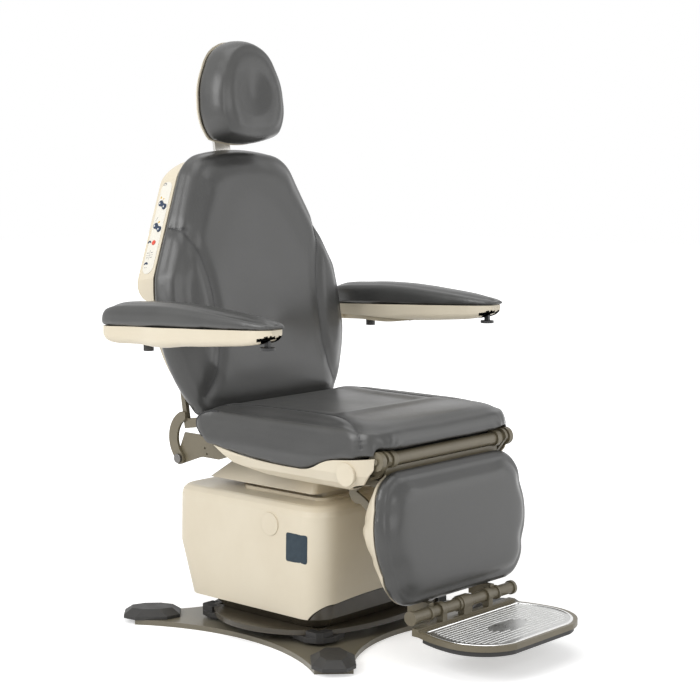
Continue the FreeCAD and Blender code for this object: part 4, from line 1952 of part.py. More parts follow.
def ram_pair(name, x, root_y, root_z, lug_y, lug_z, length, stroke):
    """An actuator's housing and rod, laid from its fixed pivot to its lug."""
    root = Vector(float(x), float(root_y), float(root_z))
    reach = Vector(float(x), float(lug_y), float(lug_z)) - root
    eye_half = s.ram_eye / 2
    span = Size(reach.Length, "sqrt((%s)^2 + (%s)^2)" % (
        (as_size(lug_y) - root_y).text, (as_size(lug_z) - root_z).text))
    housing = fuse(
        rod("x", s.ram_eye, -eye_half, eye_half, 0, 0),
        box(-eye_half, eye_half, -s.ram_eye, s.ram_eye, 0, s.ram_radius + s.run_gap * 2),
        rod("z", s.ram_radius, s.ram_radius, length, 0, 0))
    housing = cut(housing, rod("z", s.ram_rod + s.run_gap, s.ram_radius * 2,
                               length + s.overrun, 0, 0))
    housing = cut(housing, rod("x", s.ram_pin + s.run_gap, -s.ram_radius, s.ram_radius, 0, 0))
    slider = fuse(
        rod("z", s.ram_rod, s.ram_radius * 2 + stroke, span - s.ram_eye / 2, 0, 0),
        rod("x", s.ram_eye, -eye_half, eye_half, 0, span))
    slider = cut(slider, rod("x", s.ram_pin + s.run_gap, -s.ram_radius, s.ram_radius, 0, span))
    turn = FreeCAD.Placement(root, Rotation(Vector(0, 0, 1), reach))
    for label, piece in ((name + "_body", housing), (name + "_rod", slider)):
        piece.Placement = turn
        bind(piece, "Placement.Base.x", x)
        bind(piece, "Placement.Base.y", root_y)
        bind(piece, "Placement.Base.z", root_z)
        part(label, piece)


ram_pair("leg_ram", -s.leg_ram_x, -s.leg_ram_root_y, s.leg_ram_root_z, -s.leg_lug_y,
         s.leg_lug_z, s.leg_ram_body, s.run_gap)
ram_pair("back_ram", s.back_ram_x, -s.back_ram_root_y, s.back_ram_root_z, s.back_lug_y,
         s.back_lug_z, s.back_ram_body, s.back_ram_stroke)

doc.recompute()
for item in doc.Objects:
    if "Invalid" in item.State or "Error" in item.State:
        raise RuntimeError("not computed: " + item.Label)
for piece in PARTS:
    if piece.Shape.isNull() or not piece.Shape.isValid() or not piece.Shape.Solids:
        raise RuntimeError("no valid solid: " + piece.Label)
os.makedirs("parts", exist_ok=True)
for piece in PARTS:
    piece.Shape.exportStep("parts/" + piece.Label + ".step")
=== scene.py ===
import math

import bmesh
import bpy
import numpy as np
from mathutils import Matrix, Vector
from mathutils.bvhtree import BVHTree
from mathutils.kdtree import KDTree


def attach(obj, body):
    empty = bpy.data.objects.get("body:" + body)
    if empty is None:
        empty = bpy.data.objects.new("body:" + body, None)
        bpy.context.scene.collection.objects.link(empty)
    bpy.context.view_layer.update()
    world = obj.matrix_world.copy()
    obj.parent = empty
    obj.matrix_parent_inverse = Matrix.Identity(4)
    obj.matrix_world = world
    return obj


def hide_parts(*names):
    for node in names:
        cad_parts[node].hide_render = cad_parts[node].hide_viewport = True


# Looks of a powered examination chair. Metres, origin on the floor under the swivel axis,
# +Z up, the sitter faces -Y and the sitter's left hand is on +X.

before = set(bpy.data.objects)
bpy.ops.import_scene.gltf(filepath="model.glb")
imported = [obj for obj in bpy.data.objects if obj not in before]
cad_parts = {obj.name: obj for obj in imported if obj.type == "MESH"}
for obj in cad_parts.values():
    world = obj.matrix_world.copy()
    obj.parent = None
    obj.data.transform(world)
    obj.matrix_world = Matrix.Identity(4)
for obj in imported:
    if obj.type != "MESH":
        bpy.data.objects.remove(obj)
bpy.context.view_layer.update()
scene = bpy.context.scene
MM = 0.001


# Finishes: each is a node material on Object coordinates


def opaque(colour, share=1.0):
    """A colour with full alpha, dimmed or brightened by a share."""
    return tuple(min(1.0, value * share) for value in colour) + (1,)


class Finish:
    """A finish built from a shader and a few nodes that read Object coordinates."""

    def __init__(self, name, rough, metal=0.0):
        self.material = bpy.data.materials.new(name)
        self.material.use_nodes = True
        self.nodes = self.material.node_tree.nodes
        self.links = self.material.node_tree.links
        self.shader = self.nodes["Principled BSDF"]
        self.shader.inputs["Metallic"].default_value = metal
        self.shader.inputs["Roughness"].default_value = rough
        self.place = self.nodes.new("ShaderNodeTexCoord").outputs["Object"]

    def join(self, source, target):
        if isinstance(source, (int, float, tuple)):
            target.default_value = source
        else:
            self.links.new(source, target)

    def stretch(self, scale):
        """Object coordinates drawn out by a scale along each axis."""
        node = self.nodes.new("ShaderNodeMapping")
        node.inputs["Scale"].default_value = scale
        self.links.new(self.place, node.inputs["Vector"])
        return node.outputs["Vector"]

    def noise(self, scale, detail=3.0, rough=0.5, place=None):
        node = self.nodes.new("ShaderNodeTexNoise")
        node.inputs["Scale"].default_value = scale
        node.inputs["Detail"].default_value = detail
        node.inputs["Roughness"].default_value = rough
        self.links.new(place or self.place, node.inputs["Vector"])
        return node.outputs["Fac"]

    def cells(self, scale):
        node = self.nodes.new("ShaderNodeTexVoronoi")
        node.feature = "SMOOTH_F1"
        node.inputs["Scale"].default_value = scale
        self.links.new(self.place, node.inputs["Vector"])
        return node.outputs["Distance"]

    def span(self, value, low, high, start, end):
        """Turns the range low to high of a value into start to end."""
        node = self.nodes.new("ShaderNodeMapRange")
        range_of = {"From Min": low, "From Max": high, "To Min": start, "To Max": end}
        for name, number in range_of.items():
            node.inputs[name].default_value = number
        self.links.new(value, node.inputs["Value"])
        return node.outputs["Result"]

    def sum(self, first, second, work="ADD"):
        node = self.nodes.new("ShaderNodeMath")
        node.operation = work
        self.join(first, node.inputs[0])
        self.join(second, node.inputs[1])
        return node.outputs[0]

    def blend(self, share, first, second):
        """A colour between two colours or outputs."""
        node = self.nodes.new("ShaderNodeMix")
        node.data_type = "RGBA"
        self.join(share, node.inputs[0])
        self.join(first, node.inputs[6])
        self.join(second, node.inputs[7])
        return node.outputs[2]

    def edges(self, radius):
        """The rounded normal at sharp edges, and a mask of those edges."""
        bevel = self.nodes.new("ShaderNodeBevel")
        bevel.samples = 4
        bevel.inputs["Radius"].default_value = radius
        flat = self.nodes.new("ShaderNodeNewGeometry")
        dot = self.nodes.new("ShaderNodeVectorMath")
        dot.operation = "DOT_PRODUCT"
        self.links.new(bevel.outputs["Normal"], dot.inputs[0])
        self.links.new(flat.outputs["Normal"], dot.inputs[1])
        return bevel.outputs["Normal"], self.span(dot.outputs["Value"], 0.82, 0.985, 1.0, 0.0)

    def bump(self, height, depth, strength, normal=None):
        node = self.nodes.new("ShaderNodeBump")
        node.inputs["Strength"].default_value = strength
        node.inputs["Distance"].default_value = depth
        self.links.new(height, node.inputs["Height"])
        if normal:
            self.links.new(normal, node.inputs["Normal"])
        return node.outputs["Normal"]

    def clouded(self, cloud, low, high, first, second):
        """Two opaque colours, blended by a range of a value."""
        return self.blend(self.span(cloud, low, high, 0.0, 1.0), opaque(first), opaque(second))

    def wear(self, colour=None, rough=None, normal=None):
        for name, source in (("Base Color", colour), ("Roughness", rough), ("Normal", normal)):
            if source:
                self.join(source, self.shader.inputs[name])
        return self.material


def vinyl():
    """Charcoal upholstery vinyl: fine pebble grain under a satin finish, slightly paler in patches."""
    made = Finish("charcoal_vinyl", 0.42)
    made.shader.inputs["Specular IOR Level"].default_value = 0.5
    made.shader.inputs["Coat Weight"].default_value = 0.26
    made.shader.inputs["Coat Roughness"].default_value = 0.24
    cloud = made.noise(9.0, 4.0, 0.55)
    fine = made.noise(420.0, 2.0, 0.6)
    tone = made.clouded(cloud, 0.3, 0.7, (0.036, 0.036, 0.035), (0.046, 0.046, 0.044))
    tone = made.blend(made.span(fine, 0.35, 0.7, 0.0, 0.35), tone, (0.058, 0.058, 0.055, 1))
    rough = made.span(made.sum(cloud, fine), 0.7, 1.3, 0.32, 0.46)
    pebble = made.cells(760.0)
    grain = made.bump(pebble, 0.00022, 0.4)
    return made.wear(tone, rough, made.bump(made.noise(38.0, 2.0), 0.0006, 0.35, grain))


def plastic(name, pale, deep, rough, grain):
    """Moulded plastic: spark texture, faint flow clouds, grime along edges and a rounded edge."""
    made = Finish(name, rough)
    soft, rim = made.edges(0.0012)
    cloud = made.noise(5.0, 4.0, 0.6)
    tone = made.clouded(cloud, 0.35, 0.68, pale, deep)
    mark = made.sum(rim, made.span(made.noise(60.0, 4.0, 0.7), 0.45, 0.7, 0.0, 0.5), "MULTIPLY")
    tone = made.blend(mark, tone, opaque(deep, 0.72))
    spark = made.noise(900.0, 2.0, 0.5)
    shine = made.span(made.sum(cloud, made.noise(130.0)), 0.7, 1.3, rough - 0.05, rough + 0.07)
    return made.wear(tone, shine, made.bump(spark, 0.00012, grain, soft))


def paint(name, pale, deep, rough):
    """Powder coat on steel: orange peel, fine speckle and rubbed, shinier edges."""
    made = Finish(name, rough)
    soft, rim = made.edges(0.0014)
    cloud = made.noise(11.0, 4.0, 0.6)
    speckle = made.noise(1300.0, 1.0, 0.5)
    tone = made.clouded(cloud, 0.3, 0.7, pale, deep)
    tone = made.blend(made.span(speckle, 0.58, 0.72, 0.0, 0.4), tone, opaque(deep, 0.6))
    rub = made.sum(rim, made.span(made.noise(90.0, 5.0, 0.7), 0.42, 0.62, 0.0, 0.7), "MULTIPLY")
    tone = made.blend(rub, tone, opaque(pale, 1.5))
    shine = made.span(rub, 0.0, 1.0, rough, rough - 0.14)
    return made.wear(tone, shine, made.bump(made.noise(520.0, 2.0), 0.00016, 0.4, soft))


def metal(name, pale, deep, rough, draw):
    """Bare metal with fine drawn lines along one axis and smudges."""
    made = Finish(name, rough, 1.0)
    soft, rim = made.edges(0.0009)
    lines = made.noise(240.0, 3.0, 0.6, made.stretch(draw))
    smudge = made.noise(26.0, 4.0, 0.6)
    tone = made.clouded(lines, 0.3, 0.7, pale, deep)
    tone = made.blend(made.sum(rim, 0.35, "MULTIPLY"), tone, (0.9, 0.9, 0.9, 1))
    shine = made.span(made.sum(lines, smudge), 0.7, 1.35, rough - 0.08, rough + 0.12)
    return made.wear(tone, shine, made.bump(lines, 0.00008, 0.35, soft))


def rubber(name, pale, deep):
    """Moulded rubber: matt, mottled, with dust held on the edges."""
    made = Finish(name, 0.55)
    soft, rim = made.edges(0.0016)
    cloud = made.noise(24.0, 5.0, 0.65)
    tone = made.clouded(cloud, 0.3, 0.7, deep, pale)
    dust = made.sum(rim, made.span(made.noise(150.0, 4.0, 0.7), 0.4, 0.7, 0.05, 0.5), "MULTIPLY")
    tone = made.blend(dust, tone, (0.095, 0.090, 0.080, 1))
    shine = made.span(cloud, 0.3, 0.7, 0.44, 0.62)
    return made.wear(tone, shine, made.bump(made.noise(700.0, 3.0, 0.6), 0.00025, 0.5, soft))


def film(name, pale, deep, rough=0.34):
    """Printed film over keys: satin, with a faint handled sheen."""
    made = Finish(name, rough)
    soft, rim = made.edges(0.0005)
    cloud = made.noise(70.0, 4.0, 0.6)
    tone = made.clouded(cloud, 0.3, 0.7, pale, deep)
    tone = made.blend(made.sum(rim, 0.3, "MULTIPLY"), tone, opaque(deep, 0.7))
    shine = made.span(cloud, 0.3, 0.7, rough - 0.06, rough + 0.08)
    return made.wear(tone, shine, made.bump(made.noise(1500.0, 2.0), 0.00006, 0.3, soft))


VINYL = vinyl()
THREAD = film("waxed_thread", (0.030, 0.030, 0.032), (0.018, 0.018, 0.019), 0.6)
CREAM = plastic("cream_shell", (0.735, 0.662, 0.520), (0.695, 0.618, 0.476), 0.34, 0.3)
TAUPE = paint("taupe_powder_coat", (0.168, 0.143, 0.093), (0.138, 0.117, 0.075), 0.38)
# A darker, glossier copy of the taupe powder coat: painted shade for the lower tray and brake bars, which sit
# low under the base cover
SHADED_TAUPE = paint("taupe_painted_shade", (0.062, 0.052, 0.036), (0.046, 0.038, 0.026), 0.26)
STEEL = metal("brushed_steel", (0.62, 0.61, 0.58), (0.50, 0.49, 0.47), 0.30, (1, 14, 14))
YELLOW_PRINT = film("yellow_print", (0.70, 0.42, 0.03), (0.62, 0.36, 0.02))
GREY_PRINT = film("grey_print", (0.22, 0.22, 0.23), (0.17, 0.17, 0.18))
SLATE = film("slate_plate", (0.006, 0.024, 0.040), (0.004, 0.018, 0.031), 0.5)
NAVY = film("navy_key", (0.010, 0.030, 0.075), (0.007, 0.022, 0.058), 0.38)
WHITE_PRINT = film("white_print", (0.86, 0.86, 0.84), (0.78, 0.78, 0.76))
FINISHES = {
    "dark_vinyl": VINYL,
    "cream_plastic": CREAM,
    "taupe_steel": TAUPE,
    "plate_steel": paint("base_plate_coat", (0.178, 0.158, 0.114), (0.148, 0.131, 0.094), 0.34),
    "dark_rubber": rubber("black_rubber", (0.030, 0.029, 0.027), (0.019, 0.018, 0.017)),
    "bright_steel": STEEL,
    "dark_steel": metal("dark_zinc", (0.21, 0.20, 0.19), (0.14, 0.135, 0.13), 0.42, (1, 10, 10)),
    "tread_aluminium": metal("rolled_aluminium", (0.66, 0.66, 0.65), (0.52, 0.52, 0.51), 0.30, (1, 16, 16)),
    "black_plastic": plastic("black_moulding", (0.030, 0.030, 0.031), (0.022, 0.022, 0.023), 0.44, 0.4),
    "grey_plastic": plastic("grey_moulding", (0.185, 0.180, 0.170), (0.150, 0.146, 0.138), 0.46, 0.4),
    "film_white": film("keypad_film", (0.800, 0.770, 0.690), (0.755, 0.725, 0.645)),
    "key_blue": NAVY,
    "key_red": film("coral_key", (0.78, 0.085, 0.045), (0.66, 0.065, 0.035), 0.36),
}
# The lower tray and the brake bars, low under the base cover, take the darker taupe copy as painted shade
PAINTED_SHADE_PARTS = ("lower_tray", "brake_bars")
for name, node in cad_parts.items():
    for held in node.material_slots:
        usual = FINISHES[held.material.name.split(".")[0]]
        held.material = SHADED_TAUPE if name in PAINTED_SHADE_PARTS else usual


# Making and finishing meshes


def settle(piece):
    """Applies the modifiers of a piece and leaves a plain mesh."""
    graph = bpy.context.evaluated_depsgraph_get()
    made = bpy.data.meshes.new_from_object(piece.evaluated_get(graph))
    piece.modifiers.clear()
    old = piece.data
    piece.data = made
    if isinstance(old, bpy.types.Mesh):
        bpy.data.meshes.remove(old)
    return piece


def mesh_of(name, work):
    """Writes a bmesh out as a mesh and frees it."""
    mesh = bpy.data.meshes.new(name)
    work.to_mesh(mesh)
    work.free()
    return mesh


def add_piece(name, mesh, finish=None, body=None):
    """Adds a mesh to the scene, and gives it a finish, a body and a slot where they are named."""
    piece = bpy.data.objects.new(name, mesh)
    scene.collection.objects.link(piece)
    if finish:
        mesh.materials.append(finish)
    if body:
        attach(piece, body)
    return piece


def points_of(mesh):
    points = np.empty(len(mesh.vertices) * 3)
    mesh.vertices.foreach_get("co", points)
    return points.reshape(-1, 3)


def normals_of(mesh):
    normals = np.empty(len(mesh.vertices) * 3)
    mesh.vertex_normals.foreach_get("vector", normals)
    return normals.reshape(-1, 3)


def set_points(mesh, points):
    mesh.vertices.foreach_set("co", np.ascontiguousarray(points, dtype=float).ravel())
    mesh.update()


def links_of(mesh):
    pairs = np.empty(len(mesh.edges) * 2, dtype=np.int64)
    mesh.edges.foreach_get("vertices", pairs)
    return pairs.reshape(-1, 2)


def ease(values, pairs, rounds, share=0.5):
    """Evens values out between neighbours on a mesh."""
    count = np.bincount(pairs.ravel(), minlength=len(values))[:, None]
    for _ in range(rounds):
        total = np.zeros_like(values)
        for column in range(values.shape[1]):
            total[:, column] = (
                np.bincount(pairs[:, 0], values[pairs[:, 1], column], len(values))
                + np.bincount(pairs[:, 1], values[pairs[:, 0], column], len(values)))
        values = values + (total / count - values) * share
    return values


def fade(value, low, high):
    """A smooth step from 0 at low to 1 at high."""
    share = np.clip((value - low) / (high - low), 0.0, 1.0)
    return share * share * (3.0 - 2.0 * share)


def surface_tree(mesh):
    corners = [tuple(point) for point in points_of(mesh)]
    return BVHTree.FromPolygons(corners, [tuple(face.vertices) for face in mesh.polygons])


STUFFING_PRESSURE = 4.0
STUFFING_FRAMES = 20
MOVE_ROUNDS = 36
# Points that may move by less than this share of the cap are held by the board
HELD_BELOW = 0.02


def swell(piece, free, cap, stiff):
    """Stuffs a cover by pressure, then limits how far each point has moved to its share of the cap."""
    start = points_of(piece.data)
    held = piece.vertex_groups.new(name="held")
    for index in np.nonzero(free < HELD_BELOW)[0].tolist():
        held.add([index], 1.0, "REPLACE")
    cloth = piece.modifiers.new("stuffing", "CLOTH")
    fabric = cloth.settings
    fabric.quality = 4
    fabric.mass = 0.35
    fabric.tension_stiffness = stiff
    fabric.compression_stiffness = stiff
    fabric.shear_stiffness = stiff / 2
    fabric.bending_stiffness = 2.5
    fabric.use_pressure = True
    fabric.uniform_pressure_force = STUFFING_PRESSURE
    fabric.effector_weights.gravity = 0
    fabric.vertex_group_mass = "held"
    cloth.point_cache.frame_start = 1
    cloth.point_cache.frame_end = STUFFING_FRAMES
    for moment in range(1, STUFFING_FRAMES + 1):
        scene.frame_set(moment)
    settle(piece)
    scene.frame_set(1)
    piece.vertex_groups.clear()
    move = points_of(piece.data) - start
    move = ease(move, links_of(piece.data), MOVE_ROUNDS)
    length = np.linalg.norm(move, axis=1)
    limit = cap * free
    move *= (np.minimum(1.0, limit / np.maximum(length, 1e-9)))[:, None]
    set_points(piece.data, start + move)


# Rounds of easing: of the form, of the way it faces, of its front and of the stuffed cover
FIRST_ROUNDS, FACING_ROUNDS, FRONT_ROUNDS, LAST_ROUNDS = 5, 10, 90, 2


def cover(node, body, voxel, shape, free_of, cap, front, stiff=12.0):
    """The upholstery over a CAD cushion: its form evened out over its front, stuffed and divided.

    free_of gives the share of the cap that each point may move, and shape moves points afterwards.
    """
    work = bmesh.new()
    work.from_mesh(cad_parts[node].data)
    bmesh.ops.remove_doubles(work, verts=work.verts, dist=0.00002)
    piece = add_piece(node + "_cover", mesh_of(node + "_cover", work))
    even = piece.modifiers.new("even", "REMESH")
    even.mode = "VOXEL"
    even.voxel_size = voxel
    settle(piece)
    pairs = links_of(piece.data)
    points = ease(points_of(piece.data), pairs, FIRST_ROUNDS)
    set_points(piece.data, points)
    facing = normals_of(piece.data) @ np.array(front)
    broad = fade(ease(facing[:, None], pairs, FACING_ROUNDS)[:, 0], 0.66, 0.92)[:, None]
    points = points + (ease(points, pairs, FRONT_ROUNDS) - points) * broad
    set_points(piece.data, points)
    free = free_of(points)
    set_points(piece.data, points - normals_of(piece.data) * (free * cap * 0.35)[:, None])
    swell(piece, free, cap, stiff)
    points = points_of(piece.data)
    set_points(piece.data, points + shape(points, normals_of(piece.data)))
    points = ease(points_of(piece.data), pairs, LAST_ROUNDS)
    set_points(piece.data, points)
    finer = piece.modifiers.new("finer", "SUBSURF")
    finer.levels = 1
    finer.render_levels = 1
    settle(piece)
    piece.data.materials.clear()
    piece.data.materials.append(VINYL)
    piece.data.shade_smooth()
    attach(piece, body)
    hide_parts(node)
    return piece


# Depth and half width of the narrow crease in a seam
CREASE = (0.0018, 0.0034)


def press(piece, line, depth, width):
    """Presses a soft valley into a cover along a line."""
    mesh = piece.data
    points = points_of(mesh)
    normals = normals_of(mesh)
    low = line.min(0) - width * 3
    high = line.max(0) + width * 3
    near = np.nonzero(((points > low) & (points < high)).all(1))[0]
    finder = KDTree(len(line))
    for index, spot in enumerate(line):
        finder.insert(spot, index)
    finder.balance()
    away = np.array([finder.find(points[index])[2] for index in near])
    points[near] -= normals[near] * (depth * np.exp(-(away / width) ** 2))[:, None]
    set_points(mesh, points)


def follow(table, steps):
    """Even points on a smooth line through a few chosen places."""
    table = np.array(table, float)
    past = np.vstack([2 * table[0] - table[1], table, 2 * table[-1] - table[-2]])
    out = []
    for index in range(len(table) - 1):
        a, b, c, d = past[index:index + 4]
        for part in np.linspace(0, 1, steps, endpoint=False):
            out.append(0.5 * (2 * b + (c - a) * part + (2 * a - 5 * b + 4 * c - d) * part ** 2
                              + (3 * b - a - 3 * c + d) * part ** 3))
    return np.array(out + [table[-1]])


def lay(tree, spots, aim, start):
    """Drops spots on a surface, along a direction, from a distance in front of it."""
    found = []
    aim = Vector(aim).normalized()
    for spot in spots:
        place = Vector(spot) - aim * start
        hit, facing, _, _ = tree.ray_cast(place, aim)
        if hit is None:
            hit, facing, _, _ = tree.find_nearest(Vector(spot))
        found.append((hit, facing))
    return found


def nearest(tree, spots):
    """The places and facings of a surface that lie nearest to spots."""
    return [tree.find_nearest(Vector(spot))[:2] for spot in spots]


def places(found):
    """The places alone, out of places and facings."""
    return np.array([tuple(place) for place, _ in found])


def panel_half(panel, along):
    """Half the width of a cushion's middle panel, from its table of halves and places in mm."""
    table = np.array(panel, float) * MM
    return np.interp(-along, -table[:, 1], table[:, 0])


def into(points, inverse):
    """Points in a cushion's own frame: across, to the rear, along it."""
    return points @ inverse[:3, :3].T + inverse[:3, 3]


def out_of(moves, matrix):
    """Moves in a cushion's own frame, turned back into the frame of the row."""
    return moves @ np.array(matrix)[:3, :3].T


# Repeated small things, made by Geometry Nodes


class Kit:
    """A Geometry Nodes tree with named inputs."""

    def __init__(self, name, inputs):
        self.tree = bpy.data.node_groups.new(name, "GeometryNodeTree")
        face = self.tree.interface
        face.new_socket("Geometry", in_out="INPUT", socket_type="NodeSocketGeometry")
        self.names = {}
        for label, value in inputs.items():
            socket = face.new_socket(label, in_out="INPUT", socket_type="NodeSocketFloat")
            socket.default_value = value
            self.names[label] = socket.identifier
        face.new_socket("Geometry", in_out="OUTPUT", socket_type="NodeSocketGeometry")
        self.source = self.add("NodeGroupInput")
        self.target = self.add("NodeGroupOutput")

    def add(self, kind, links=None, **settings):
        node = self.tree.nodes.new(kind)
        for name, value in settings.items():
            setattr(node, name, value)
        for target, source in (links or {}).items():
            socket = node.inputs[target]
            if isinstance(source, bpy.types.NodeSocket):
                self.tree.links.new(source, socket)
            else:
                socket.default_value = source
        return node

    def size(self, label):
        return self.source.outputs[label]

    def math(self, work, first, second):
        return self.add("ShaderNodeMath", {0: first, 1: second}, operation=work).outputs[0]

    def across(self, x, y, z):
        return self.add("ShaderNodeCombineXYZ", {0: x, 1: y, 2: z}).outputs[0]

    def named(self, label, kind="FLOAT_VECTOR"):
        node = self.add("GeometryNodeInputNamedAttribute", {"Name": label}, data_type=kind)
        return node.outputs["Attribute"]

    def finish(self, geometry, material):
        real = self.add("GeometryNodeRealizeInstances", {"Geometry": geometry})
        painted = self.add("GeometryNodeSetMaterial", {"Geometry": real.outputs[0], "Material": material})
        return painted.outputs[0]

    def close(self, geometry):
        self.tree.links.new(geometry, self.target.inputs[0])
        return self


def run_kit(name, mesh, kit, sizes, body):
    """Runs a tree on a mesh of points or lines and keeps the result as one plain mesh."""
    piece = add_piece(name, mesh)
    work = piece.modifiers.new(kit.tree.name, "NODES")
    work.node_group = kit.tree
    for label, value in sizes.items():
        work[kit.names[label]] = value
    settle(piece)
    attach(piece, body)


def sewing_kit():
    """A folded seam along each line, and a row of stitches along each line marked as a row."""
    kit = Kit("sewing", {"Fold radius": 0.0006, "Stitch length": 0.0034, "Thread radius": 0.00045,
                         "Pitch": 0.0052})
    parts = kit.add("GeometryNodeSeparateGeometry", {
        "Geometry": kit.source.outputs["Geometry"], "Selection": kit.named("row", "BOOLEAN")}, domain="POINT")
    rows = kit.add("GeometryNodeMeshToCurve", {"Mesh": parts.outputs["Selection"]})
    folds = kit.add("GeometryNodeMeshToCurve", {"Mesh": parts.outputs["Inverted"]})
    ring = kit.add("GeometryNodeCurvePrimitiveCircle", {"Resolution": 6, "Radius": kit.size("Fold radius")})
    fold = kit.add("GeometryNodeCurveToMesh", {
        "Curve": folds.outputs[0], "Profile Curve": ring.outputs[0], "Fill Caps": True})
    spaced = kit.add("GeometryNodeResampleCurve", {"Curve": rows.outputs[0]})
    spaced.mode = "LENGTH"
    kit.tree.links.new(kit.size("Pitch"), spaced.inputs["Length"])
    bead = kit.add("GeometryNodeMeshUVSphere", {"Segments": 6, "Rings": 4, "Radius": 1.0})
    tangent = kit.add("GeometryNodeInputTangent")
    turn = kit.add("FunctionNodeAlignRotationToVector", {"Vector": tangent.outputs[0]}, axis="X")
    size = kit.across(kit.math("MULTIPLY", kit.size("Stitch length"), 0.5), kit.size("Thread radius"),
                      kit.size("Thread radius"))
    sewn = kit.add("GeometryNodeInstanceOnPoints", {
        "Points": spaced.outputs[0], "Instance": bead.outputs["Mesh"],
        "Rotation": turn.outputs[0], "Scale": size})
    both = kit.add("GeometryNodeJoinGeometry")
    kit.tree.links.new(kit.finish(sewn.outputs[0], THREAD), both.inputs[0])
    kit.tree.links.new(kit.finish(fold.outputs[0], THREAD), both.inputs[0])
    return kit.close(both.outputs[0])


def screw_kit():
    """Cap screws with a hexagon socket, on points that carry the way they face."""
    kit = Kit("cap_screws", {"Head radius": 0.0035, "Head height": 0.0022, "Socket radius": 0.0017})
    radius = kit.size("Head radius")
    height = kit.size("Head height")
    head = kit.add("GeometryNodeMeshCylinder", {
        "Vertices": 24, "Radius": radius, "Depth": height})
    dome = kit.add("GeometryNodeMeshCylinder", {
        "Vertices": 24, "Radius": kit.math("MULTIPLY", radius, 0.86),
        "Depth": kit.math("MULTIPLY", height, 1.3)})
    socket = kit.add("GeometryNodeMeshCylinder", {
        "Vertices": 6, "Radius": kit.size("Socket radius"), "Depth": kit.math("MULTIPLY", height, 1.2)})
    lifted = kit.add("GeometryNodeTransform", {
        "Geometry": socket.outputs["Mesh"],
        "Translation": kit.across(0.0, 0.0, kit.math("MULTIPLY", height, 0.7))})
    whole = kit.add("GeometryNodeMeshBoolean", operation="UNION")
    kit.tree.links.new(head.outputs["Mesh"], whole.inputs[1])
    kit.tree.links.new(dome.outputs["Mesh"], whole.inputs[1])
    carved = kit.add("GeometryNodeMeshBoolean", operation="DIFFERENCE")
    kit.tree.links.new(whole.outputs[0], carved.inputs[0])
    kit.tree.links.new(lifted.outputs[0], carved.inputs[1])
    turn = kit.add("FunctionNodeAlignRotationToVector", {"Vector": kit.named("facing")}, axis="Z")
    placed = kit.add("GeometryNodeInstanceOnPoints", {
        "Points": kit.source.outputs["Geometry"], "Instance": carved.outputs[0], "Rotation": turn.outputs[0]})
    return kit.close(kit.finish(placed.outputs[0], STEEL))


SEWING = sewing_kit()
SCREWS = screw_kit()


def sew(name, body, folds, rows, radius=0.0006):
    """Seam folds and stitch rows of one body as one piece."""
    mesh = bpy.data.meshes.new(name)
    corners, pairs, marks = [], [], []
    for lines, mark in ((folds, False), (rows, True)):
        for line in lines:
            base = len(corners)
            corners += [tuple(spot) for spot in line]
            marks += [mark] * len(line)
            pairs += [(base + step, base + step + 1) for step in range(len(line) - 1)]
    mesh.from_pydata(corners, pairs, [])
    flag = mesh.attributes.new("row", "BOOLEAN", "POINT")
    flag.data.foreach_set("value", marks)
    run_kit(name, mesh, SEWING, {"Fold radius": radius}, body)


STITCH_GAP = 0.0034


def stitch_rows(tree, seam):
    """The two lines beside a seam that its stitches follow."""
    centre = places(seam)
    rows = []
    for side in (-1, 1):
        row = []
        for index, (place, facing) in enumerate(seam):
            after = Vector(centre[min(index + 1, len(centre) - 1)])
            ahead = after - Vector(centre[max(index - 1, 0)])
            beside = ahead.cross(facing).normalized()
            hit, out, _, _ = tree.find_nearest(place + beside * STITCH_GAP * side)
            row.append(tuple(hit + out * 0.0001))
        rows.append(row)
    return rows


def sew_seams(name, body, tree, seams):
    """A fold along each seam and stitches on both sides of it; a seam is places and facings."""
    rows = [row for seam in seams for row in stitch_rows(tree, seam)]
    sew(name, body, [places(seam) for seam in seams], rows)


def sink(piece, lines, soft):
    """Presses a wide soft valley and a narrow crease in it along each line."""
    for line in lines:
        press(piece, line, *soft)
        press(piece, line, *CREASE)


def fasten(name, body, node, spots, aim, radius):
    """Screws on a CAD node where rays from the given spots along a direction meet it."""
    tree = surface_tree(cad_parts[node].data)
    found = [tree.ray_cast(Vector(spot) * MM, Vector(aim).normalized())[:2] for spot in spots]
    found = [pair for pair in found if pair[0] is not None]
    mesh = bpy.data.meshes.new(name)
    mesh.from_pydata([tuple(place + facing * 0.0004) for place, facing in found], [], [])
    ways = mesh.attributes.new("facing", "FLOAT_VECTOR", "POINT")
    ways.data.foreach_set("vector", [value for _, facing in found for value in facing])
    sizes = {"Head radius": radius, "Head height": radius * 0.62, "Socket radius": radius * 0.48}
    run_kit(name, mesh, SCREWS, sizes, body)


def plate(outline, low, high, place):
    """A thin plate with an outline in the plane of a matrix, whose first axis is its thickness."""
    work = bmesh.new()
    ground = [work.verts.new(place @ Vector((low, a, b))) for a, b in outline]
    upper = [work.verts.new(place @ Vector((high, a, b))) for a, b in outline]
    count = len(outline)
    work.faces.new(ground[::-1])
    work.faces.new(upper)
    for index in range(count):
        after = (index + 1) % count
        work.faces.new((ground[index], ground[after], upper[after], upper[index]))
    bmesh.ops.recalc_face_normals(work, faces=work.faces)
    return mesh_of("plate", work)


def merge(name, meshes, finish, body):
    """Several meshes as one piece."""
    work = bmesh.new()
    for mesh in meshes:
        work.from_mesh(mesh)
        bpy.data.meshes.remove(mesh)
    add_piece(name, mesh_of(name, work), finish, body)


# Seat cushion

# Half the width of the top panel, from the rear to the front
SEAT_PANEL = ((221, 128), (212, 90), (196, 40), (188, -20), (185, -90), (184, -150), (190, -212),
              (214, -268), (240, -312), (254, -338))
# Middle of the wrinkles at the front roll's corners, across and up
WRINKLE_SIDE, WRINKLE_HIGH = 0.205, 0.466


def seat_free(points):
    """The seat is held by its board underneath and kept off the back and the shell."""
    free = fade(points[:, 2], 0.452, 0.500)
    return free * (1 - 0.75 * fade(points[:, 1], 0.135, 0.165))


